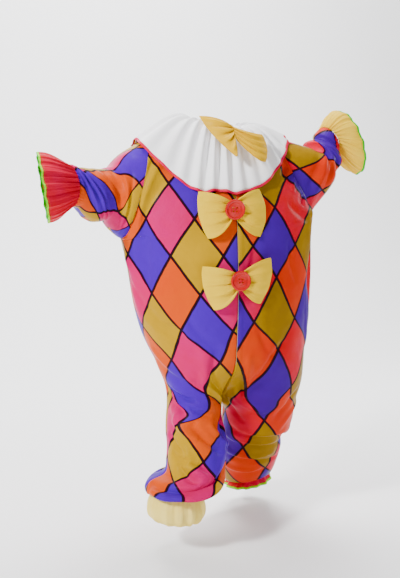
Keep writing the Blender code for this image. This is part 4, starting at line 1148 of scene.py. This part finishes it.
def make_suit(materials):
    """The four panels and the two sleeves, with shared normals at every seam."""
    grids, charts, places = {}, {}, {}
    for side, word in ((RIGHT, "right"), (LEFT, "left")):
        for face, face_word in ((FRONT, "front"), (BACK, "back")):
            rows, grid = panel_grid(side, face)
            name = f"{face_word}_{word}"
            grids[name] = (grid, False, (side == RIGHT) == (face == FRONT))
            charts[name] = panel_chart(side, rows, grid)
            places[name] = (side, face)
        grid = sleeve_grid(side)
        name = f"sleeve_{word}"
        grids[name] = (grid, True, side == LEFT)
        charts[name] = ring_chart(grid, 0.5)
        places[name] = (side, None)
    names = list(grids)
    lines = fold_lines(FOLDS)
    normals = dict(zip(names, shared_normals([grids[n] for n in names])))
    for name in names:
        grid, closed, flip = grids[name]
        if closed:
            grid = grid.copy()
            grid[0] = folded(grid[0], normals[name][0], lines)
        else:
            grid = folded(grid, normals[name], lines)
        grids[name] = (grid, closed, flip)
    normals = dict(zip(names, shared_normals([grids[n] for n in names])))
    for name in names:
        grid, closed, flip = grids[name]
        if not closed:
            grids[name] = (creased(grid, normals[name], charts[name], rows, *places[name]), closed, flip)
    normals = dict(zip(names, shared_normals([grids[n] for n in names])))
    made = {}
    for name in names:
        grid, closed, flip = grids[name]
        side = places[name][0]
        if closed:
            grid = small_creases(grid, normals[name], side)
        grid = grid - normals[name] * SEAM_DIP * inward_share(grid, closed)[..., None]
        if name == "front_left":
            grid = grid + normals[name] * lap(grid)[..., None]
        grid = drawn_in(grid, closed)
        across, down = charts[name]
        printed = sleeve_print(side, across, down) if closed else panel_print(name, across, down)
        maps = {"diamonds": printed, "cloth": (across, down)}
        inside = [materials["harlequin"], materials["harlequin_inside"]]
        piece = shell(f"{name}_cloth", grid, maps, inside, name, closed, flip)
        made[name] = (piece, grid)
        if name == "front_left":
            finish_lap(grid, normals[name], materials)
    return made


def spindles(name, starts, ends, up, thick, material, slot):
    """Short lengths of thread, each from one point to another and thickest in its middle."""
    across = unit(np.cross(ends - starts, up))
    turn = turns(THREAD_SIDES)
    belly = ((starts + ends) / 2 + up * thick / 2)[:, None] + thick / 2 * (
        across[:, None] * np.cos(turn)[None, :, None] + up[:, None] * np.sin(turn)[None, :, None])
    points = np.concatenate([starts[:, None], belly, ends[:, None]], axis=1)
    here = 1 + np.arange(THREAD_SIDES)
    after = 1 + (np.arange(THREAD_SIDES) + 1) % THREAD_SIDES
    first = np.stack([0 * here, after, here], axis=-1)
    last = np.stack([0 * here + THREAD_SIDES + 1, here, after], axis=-1)
    one = np.concatenate([first, last])
    faces = (one[None] + (np.arange(len(starts)) * points.shape[1])[:, None, None]).reshape(-1, 3)
    add_mesh(name, points.reshape(-1, 3), faces, [material], {})


def stitched(name, path, up, material, slot):
    """A row of stitches along a line on the cloth."""
    far = lengths_along(path[None], 1)[0]
    starts = np.arange(STITCH_STEP / 2, far[-1] - STITCH_STEP, STITCH_STEP)
    lifted = path + up * (CLOTH / 2)
    run = [np.stack([np.interp(at, far, lifted[:, axis]) for axis in range(3)], axis=-1)
           for at in (starts, starts + STITCH_LENGTH)]
    raised = np.stack([np.interp(starts, far, up[:, axis]) for axis in range(3)], axis=-1)
    spindles(name, *run, raised, STITCH_THICK, material, slot)


def finish_lap(grid, normals, materials):
    """The stitches down the lap, and a pale strip along its edge as a painted highlight."""
    column = int(np.argmin(np.abs(from_last(grid).mean(axis=0) - LAP_WIDTH / 2)))
    sewn = slice(LAP_FIRST_ROW, int(LAP_END_ROW * ROWS_A_STEP))
    stitched("lap_stitches", grid[sewn, column], normals[sewn, column], materials["dark_thread"],
             "harlequin_satin")
    edge = slice(LAP_FIRST_ROW, int(LAP_EDGE_END_ROW * ROWS_A_STEP))
    lap_highlight_strip(grid[edge], normals[edge], materials["painted_lap_highlight"])


def lap_highlight_strip(grid, normals, painted_lap_highlight):
    """A narrow pale strip laid on the lap's edge: a painted highlight along its fold."""
    inward = unit(grid[:, -2] - grid[:, -1])
    corners = [(0, -1), (0, 1), (1, 1), (1, -1)]
    strip = np.stack([grid[:, -1] + inward * LAP_EDGE_WIDTH * far
                      + normals[:, -1] * (CLOTH / 2 + LAP_EDGE_THICK * up) for far, up in corners], axis=1)
    first = np.arange(len(corners))
    last = first[::-1] + len(corners) * (len(strip) - 1)
    faces = np.vstack([face_quads(len(strip), len(corners), True, True), first, last])
    maps = {"cloth": strip[..., [0, 2]].reshape(-1, 2)}
    add_mesh("lap_highlight_strip", strip.reshape(-1, 3), faces, [painted_lap_highlight], maps)


def lap(grid):
    """How far the left front stands out beside the middle seam, where it laps over the right one."""
    from_inner = from_last(grid)
    rows = np.linspace(0, body_rows() - 1, grid.shape[0])[:, None]
    over = smooth((LAP_END_ROW - rows) / LAP_END_SOFT)
    return LAP_HEIGHT * (1 - smooth((from_inner - LAP_WIDTH) / LAP_SOFT)) * over


def binding(name, edge, normals, along, materials, second):
    """A folded tape along a hem: a flattened tube round the edge's line."""
    turn = turns(BINDING_SIDES)
    middle = edge + along * BINDING_WIDTH / 2
    shape = np.sign(np.cos(turn)) * np.abs(np.cos(turn)) ** BINDING_SQUARE
    grid = (middle[None] + (along * BINDING_WIDTH / 2)[None] * shape[:, None, None]
            + (normals * BINDING_THICK / 2)[None] * np.sin(turn)[:, None, None])
    grid = np.concatenate([grid, grid[:1]], axis=0)
    across, down = ring_chart(grid)
    closed = closed_up(grid)
    faces = face_quads(*closed.shape[:2], False, True)
    maps = {"cloth": np.stack([across, down], axis=-1).reshape(-1, 2)}
    replaced = (f"{name}_binding",)
    piece = add_mesh(f"{name}_tape", closed.reshape(-1, 3), faces, materials, maps, replaced)
    # The listed bands get the second material, which on the green bindings is a painted highlight
    band = np.arange(len(faces)) // (closed.shape[1] - 1)
    piece.data.polygons.foreach_set("material_index", np.isin(band, second).astype(np.int32))
    weld_seam(piece)
    return piece


def hem_run(grid):
    return unit(grid[-1] - grid[-2])


def hem_stitches(name, grid, normals, thread, slot):
    """Stitches through a ruffle's cloth beside its binding, round a closed grid."""
    path = grid[-1] - hem_run(grid) * STITCH_IN
    around = [np.concatenate([ring_line, ring_line[:1]]) for ring_line in (path, normals[-1])]
    stitched(f"{name}_stitches", *around, thread, slot)


def sewn_ruffle(name, grid, flip, cloth, trim=None):
    """A gathered piece that runs round: its cloth and, where it has one, its bound and stitched hem."""
    normals = grid_normals(grid, True, flip)
    piece = shell(f"{name}_cloth", grid, {"cloth": ring_chart(grid)}, [cloth], name, True, flip)
    if trim:
        tape_materials, thread, tape_slot, second = trim
        binding(name, grid[-1], normals[-1], hem_run(grid), tape_materials, second)
        hem_stitches(name, grid, normals, thread, tape_slot)
    declare(grid, True)


def green_trim(materials, second):
    return [materials["green"], materials["green_highlight"]], materials["green_thread"], "green_binding", second


def gathers(grid, normals, count, height, fade):
    """Small uneven gathers that start at the first row and die away."""
    turn = turns(grid.shape[1])
    share = np.linspace(0, 1, grid.shape[0])[:, None]
    shape = sum(part * np.cos((count * times + more) * turn + start)
                for times, more, part, start in GATHER_WAVES)
    depth = height * shape[None, :] * np.exp(-share / fade) * smooth(share / GATHER_START)
    return grid + normals * depth[..., None]


def make_wrist_ruffles(materials):
    turn = turns(RUFFLE_COLUMNS)
    t = np.linspace(0, 1, RUFFLE_ROWS + 1)[:, None, None]
    for side, word, cloth in ((RIGHT, "right", "red"), (LEFT, "left", "yellow")):
        wrist = {name: column[-1] for name, column in SLEEVE[side].items()}
        centre = np.array([wrist["x"], wrist["y"], wrist["z"]])
        top = ring(side, centre, wrist["yaw"], wrist["pitch"], wrist["tall"], wrist["deep"], turn)
        hem = WRIST[side]
        end = ring(side, hem["hem"], hem["yaw"], hem["pitch"], hem["tall"], hem["deep"], turn)
        flare = np.sin(t * np.pi / 2)
        axis = (np.asarray(hem["hem"]) - centre) * t
        grid = centre + axis + (1 - flare) * (top - centre) + flare * (end - np.asarray(hem["hem"]))
        flip = side == LEFT
        heights = WRIST_WAVE * np.linspace(0, 1, RUFFLE_ROWS + 1) ** WRIST_WAVE_GROWTH
        grid = waved(grid, grid_normals(grid, True, flip), WRIST_WAVES, heights)
        grid = gathers(grid, grid_normals(grid, True, flip), **GATHERS["wrist"])
        grid[0] += (grid[1] - grid[0]) * WRIST_CLEAR
        trim = green_trim(materials, BINDING_PAINTED_HIGHLIGHT if side == RIGHT else ())
        sewn_ruffle(f"wrist_ruffle_{word}", grid, flip, materials[cloth],
                    trim)


def make_ankle_ruffles(materials):
    left_trim = green_trim(materials, BINDING_PAINTED_HIGHLIGHT)
    # The right ankle's ruffle is of the yellow satin, drawn in its lighter copy as painted light
    kinds = ((RIGHT, "right", "painted_lit_yellow", "yellow_satin", None), (LEFT, "left", "red", "red_satin", left_trim))
    for side, word, cloth, slot, trim in kinds:
        shares = np.linspace(0, 1, RUFFLE_COLUMNS // 2 + 1)
        last = body_rows() - 1
        front, back = (panel_row(side, face, last, shares) for face in (FRONT, BACK))
        loop = np.vstack([front[:-1], back[::-1][:-1]])
        away = loop - loop.mean(axis=0)
        away[:, 2] = 0
        away = unit(away)
        shape = ANKLE[side]
        rows = np.linspace(0, len(shape["drop"]) - 1, RUFFLE_ROWS + 1)
        drop, spread, height = (spline(shape[key], rows) for key in ("drop", "spread", "wave"))
        grid = loop[None] + away[None] * spread[:, None, None] - np.array([0, 0, 1]) * drop[:, None, None]
        outward = np.broadcast_to(away, grid.shape)
        grid = waved(grid, outward, ANKLE_WAVES, height * ANKLE_SOFTER, ANKLE_UNEVEN)
        flip = side == RIGHT
        grid = gathers(grid, grid_normals(grid, True, flip), **GATHERS["ankle"])
        sewn_ruffle(f"ankle_ruffle_{word}", grid, flip, materials[cloth],
                    trim)


def collar_form():
    """The collar's form, from inside the neck opening, up, over and down to its edge."""
    turn = turns(COLLAR_COLUMNS)
    at = np.degrees(turn) / COLLAR_EDGE_STEP
    reach, low = spline(COLLAR_EDGE["reach"], at), spline(COLLAR_EDGE["z"], at)
    aim = np.stack([np.sin(turn), -np.cos(turn), np.zeros_like(turn)], axis=-1)
    share = np.linspace(0, 1, COLLAR_ROWS + 1)[:, None]
    radius = COLLAR_STAND_RADIUS + (reach - COLLAR_STAND_RADIUS) * share ** COLLAR_REACH_POWER
    top = COLLAR_STAND - COLLAR_STAND_TILT * np.cos(turn)
    puff = COLLAR_PUFF - COLLAR_PUFF_LEAN * np.sin(turn)
    grid = aim[None] * radius[..., None]
    puff = puff * np.sin(np.pi * share ** COLLAR_PUFF_PLACE) * (1 - COLLAR_PUFF_FADE * share)
    grid[..., 2] = top + (low - top) * share ** COLLAR_FALL_POWER + puff
    return grid, share[:, 0]


def make_collar(materials):
    grid, share = collar_form()
    middle = np.sin(np.pi * share ** COLLAR_MIDDLE_PLACE) ** COLLAR_MIDDLE_BREADTH
    height = COLLAR_FOLD + COLLAR_FOLD_MIDDLE * middle + COLLAR_FOLD_EDGE * share
    out = smooth(share / COLLAR_NECK_SHARE)
    height = height * out + COLLAR_FOLD_NECK * (1 - out)
    grid = waved(grid, grid_normals(grid, True), COLLAR_FOLDS, height, COLLAR_UNEVEN)
    grid = gathers(grid, grid_normals(grid, True), **GATHERS["collar"])
    trim = ([materials["piping"]], materials["thread"], "red_binding", ())
    sewn_ruffle("collar", grid, False, materials["white"], trim)


def bow_form(corners):
    """A bow in the XZ plane, pinched at its middle, with pleats that fan out from there."""
    v = np.linspace(-1, 1, BOW_ROWS + 1)[:, None]
    half = BOW_COLUMNS // 2
    far = np.linspace(0, 1, half + 1)[None, :]
    wings = []
    for wing, side in enumerate((RIGHT, LEFT)):
        top_x, top_z, low_x, low_z, bulge, pleats = (column[wing] for column in corners.values())
        edge_x = low_x + (top_x - low_x) * (v + 1) / 2 + side * bulge * (1 - v * v)
        edge_z = low_z + (top_z - low_z) * (v + 1) / 2
        open_up = np.sin(np.pi / 2 * far) ** BOW_OPENING
        x = edge_x * far
        z = BOW_PINCH * v * (1 - open_up) + edge_z * open_up
        pleat = BOW_PLEAT * np.cos(pleats * np.pi * v) * (1 - BOW_PLEAT_FADE * far)
        sharp = sum(part * np.cos((times * pleats + more) * np.pi * v + start * side)
                    for times, more, part, start in BOW_FINE_WAVES)
        fine = BOW_FINE_PLEAT * sharp * (1 - far) ** BOW_FINE_FADE * smooth(far / BOW_FINE_START)
        y = pleat + fine - BOW_PUFF * np.sin(np.pi * far)
        wings.append(np.stack([x, y, z], axis=-1))
    return np.concatenate([wings[0][:, :0:-1], wings[1]], axis=1)


def make_bow(word, material):
    place = BOW_PLACES[word]
    grid = bow_form(BOWS[word])
    grid[..., 1] += place["lean"] * grid[..., 2] + place["wrap"] * grid[..., 0] ** 2
    low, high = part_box(f"bow_{word}")
    grid = grid + np.array([place["x"], 0, place["z"]])
    grid[..., 1] += (low.y + high.y) / 2 - (grid[..., 1].min() + grid[..., 1].max()) / 2
    maps = {"cloth": (lengths_along(grid, 1), lengths_along(grid, 0))}
    piece = shell(f"bow_{word}_cloth", grid, maps, [material], f"bow_{word}", thick=BOW_CLOTH)
    declare(grid)


def button_holes():
    """Where a button's four holes are, across and up from its middle."""
    angles = [math.pi / 4 + i * math.pi / 2 for i in range(4)]
    return [(HOLE_REACH * math.cos(angle), HOLE_REACH * math.sin(angle)) for angle in angles]


def make_button(word, materials):
    """A turned button with a raised rim and a ring in its dish, sewn on through four holes."""
    low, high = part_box(f"button_{word}")
    tilt = math.atan(BOW_PLACES[word]["lean"])
    radius = (high.x - low.x) / 2
    mesh = bpy.data.meshes.new(f"button_{word}_disc")
    points = [(share * radius, 0, height) for share, height in zip(*BUTTON_PROFILE.values())]
    mesh.from_pydata(points, [(i, i + 1) for i in range(len(points) - 1)], [])
    disc = placed(f"button_{word}_disc", mesh)
    turned = disc.modifiers.new("turned", "SCREW")
    turned.steps = turned.render_steps = BUTTON_SIDES
    turned.use_merge_vertices = True
    turned.merge_threshold = BUTTON_MERGE
    for hole in button_holes():
        bpy.ops.mesh.primitive_cylinder_add(vertices=HOLE_SIDES, radius=HOLE_RADIUS, depth=CUTTER_LENGTH,
                                            location=(*hole, 0))
        cut = disc.modifiers.new("hole", "BOOLEAN")
        cut.object = bpy.context.object
        cut.solver = "EXACT"
    bpy.context.view_layer.update()
    final = bpy.data.meshes.new_from_object(disc.evaluated_get(bpy.context.evaluated_depsgraph_get()))
    for modifier in list(disc.modifiers):
        if modifier.type == "BOOLEAN":
            bpy.data.objects.remove(modifier.object)
    disc.modifiers.clear()
    disc.data = final
    final.materials.clear()
    final.materials.append(materials["plastic"])
    final.shade_smooth()
    final.set_sharp_from_angle(angle=math.radians(BUTTON_SHARP))
    middle = (low + high) / 2
    half = max(BUTTON_PROFILE["height"]) / 2
    place = Matrix.Translation(middle) @ Matrix.Rotation(math.radians(90) + tilt, 4, "X")
    final.transform(place @ Matrix.Translation((0, 0, -half)))
    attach(disc, "root")
    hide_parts(f"button_{word}")
    holes = np.array([place @ Vector((*hole, BUTTON_THREAD_LIFT - half)) for hole in button_holes()])
    up = np.array([place.to_3x3() @ Vector((0, 0, 1))] * 2)
    spindles(f"button_{word}_thread", holes[:2], holes[2:], up, BUTTON_THREAD, materials["thread"],
             "red_plastic")


def make_elastic(materials):
    turn = turns(ELASTIC_COLUMNS)
    x, y = ELASTIC_RADIUS * np.sin(turn), -ELASTIC_RADIUS * np.cos(turn)
    z = COLLAR_STAND - COLLAR_STAND_TILT * np.cos(turn)
    lifts = np.linspace(-ELASTIC_WIDTH / 2, ELASTIC_WIDTH / 2, ELASTIC_ROWS)
    grid = np.array([np.stack([x, y, z + lift], axis=-1) for lift in lifts])
    maps = {"cloth": ring_chart(grid)}
    shell("neck_elastic_band", grid, maps, [materials["elastic"]], "neck_elastic", True)


def make_stage():
    """A pale floor that sweeps up into a backdrop, and the studio's lights."""
    turn = np.linspace(0, np.pi / 2, STAGE_STEPS)
    y = np.concatenate([[STAGE_FRONT], STAGE_BACK - STAGE_SWEEP * (1 - np.sin(turn)), [STAGE_BACK]])
    z = np.concatenate([[0], STAGE_SWEEP * (1 - np.cos(turn)), [STAGE_TOP]]) + FLOOR_Z
    grid = np.array([np.stack([x + 0 * y, y, z], axis=-1) for x in (-STAGE_HALF, STAGE_HALF)])
    mesh = bpy.data.meshes.new("floor")
    mesh.from_pydata(grid.reshape(-1, 3).tolist(), [], face_quads(2, len(y), False, False).tolist())
    mesh.shade_smooth()
    nodes = Nodes("pale_floor")
    colour = uneven(nodes, STAGE_COLOUR, STAGE_COLOUR)
    mesh.materials.append(nodes.finish(colour, STAGE_ROUGHNESS, specular=STAGE_GLOSS))
    placed("floor", mesh)
    world = bpy.data.worlds.new("studio")
    bpy.context.scene.world = world
    world.use_nodes = True
    world.node_tree.nodes["Background"].inputs["Color"].default_value = (1.0, 1.0, 1.0, 1.0)
    world.node_tree.nodes["Background"].inputs["Strength"].default_value = WORLD_STRENGTH
    for name, at, aim, size, power in LIGHTS:
        data = bpy.data.lights.new(name, "AREA")
        data.shape = "DISK"
        data.size = size
        data.energy = power
        lamp = placed(name, data)
        lamp.location = at
        lamp.rotation_euler = (Vector(aim) - Vector(at)).to_track_quat("-Z", "Y").to_euler()


def make_camera():
    data = bpy.data.cameras.new("camera")
    data.lens = CAMERA_LENS
    data.sensor_width = CAMERA_SENSOR
    data.sensor_fit = "AUTO"
    camera = placed("camera", data)
    camera.location = CAMERA_AT
    camera.rotation_euler = Vector(CAMERA_AIM).to_track_quat("-Z", "Y").to_euler()
    bpy.context.scene.camera = camera


for old in list(bpy.data.objects):
    bpy.data.objects.remove(old)
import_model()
make_camera()
MATERIALS = make_materials()
SUIT = make_suit(MATERIALS)
for name, (piece, grid) in SUIT.items():
    closed = name.startswith("sleeve")
    declare(grid, closed=closed)
make_wrist_ruffles(MATERIALS)
make_ankle_ruffles(MATERIALS)
make_collar(MATERIALS)
make_bow("upper", MATERIALS["bow"])
make_bow("lower", MATERIALS["bow"])
make_bow("neck", MATERIALS["neck_bow"])
make_button("upper", MATERIALS)
make_button("lower", MATERIALS)
make_elastic(MATERIALS)
make_stage()
bpy.context.view_layer.update()
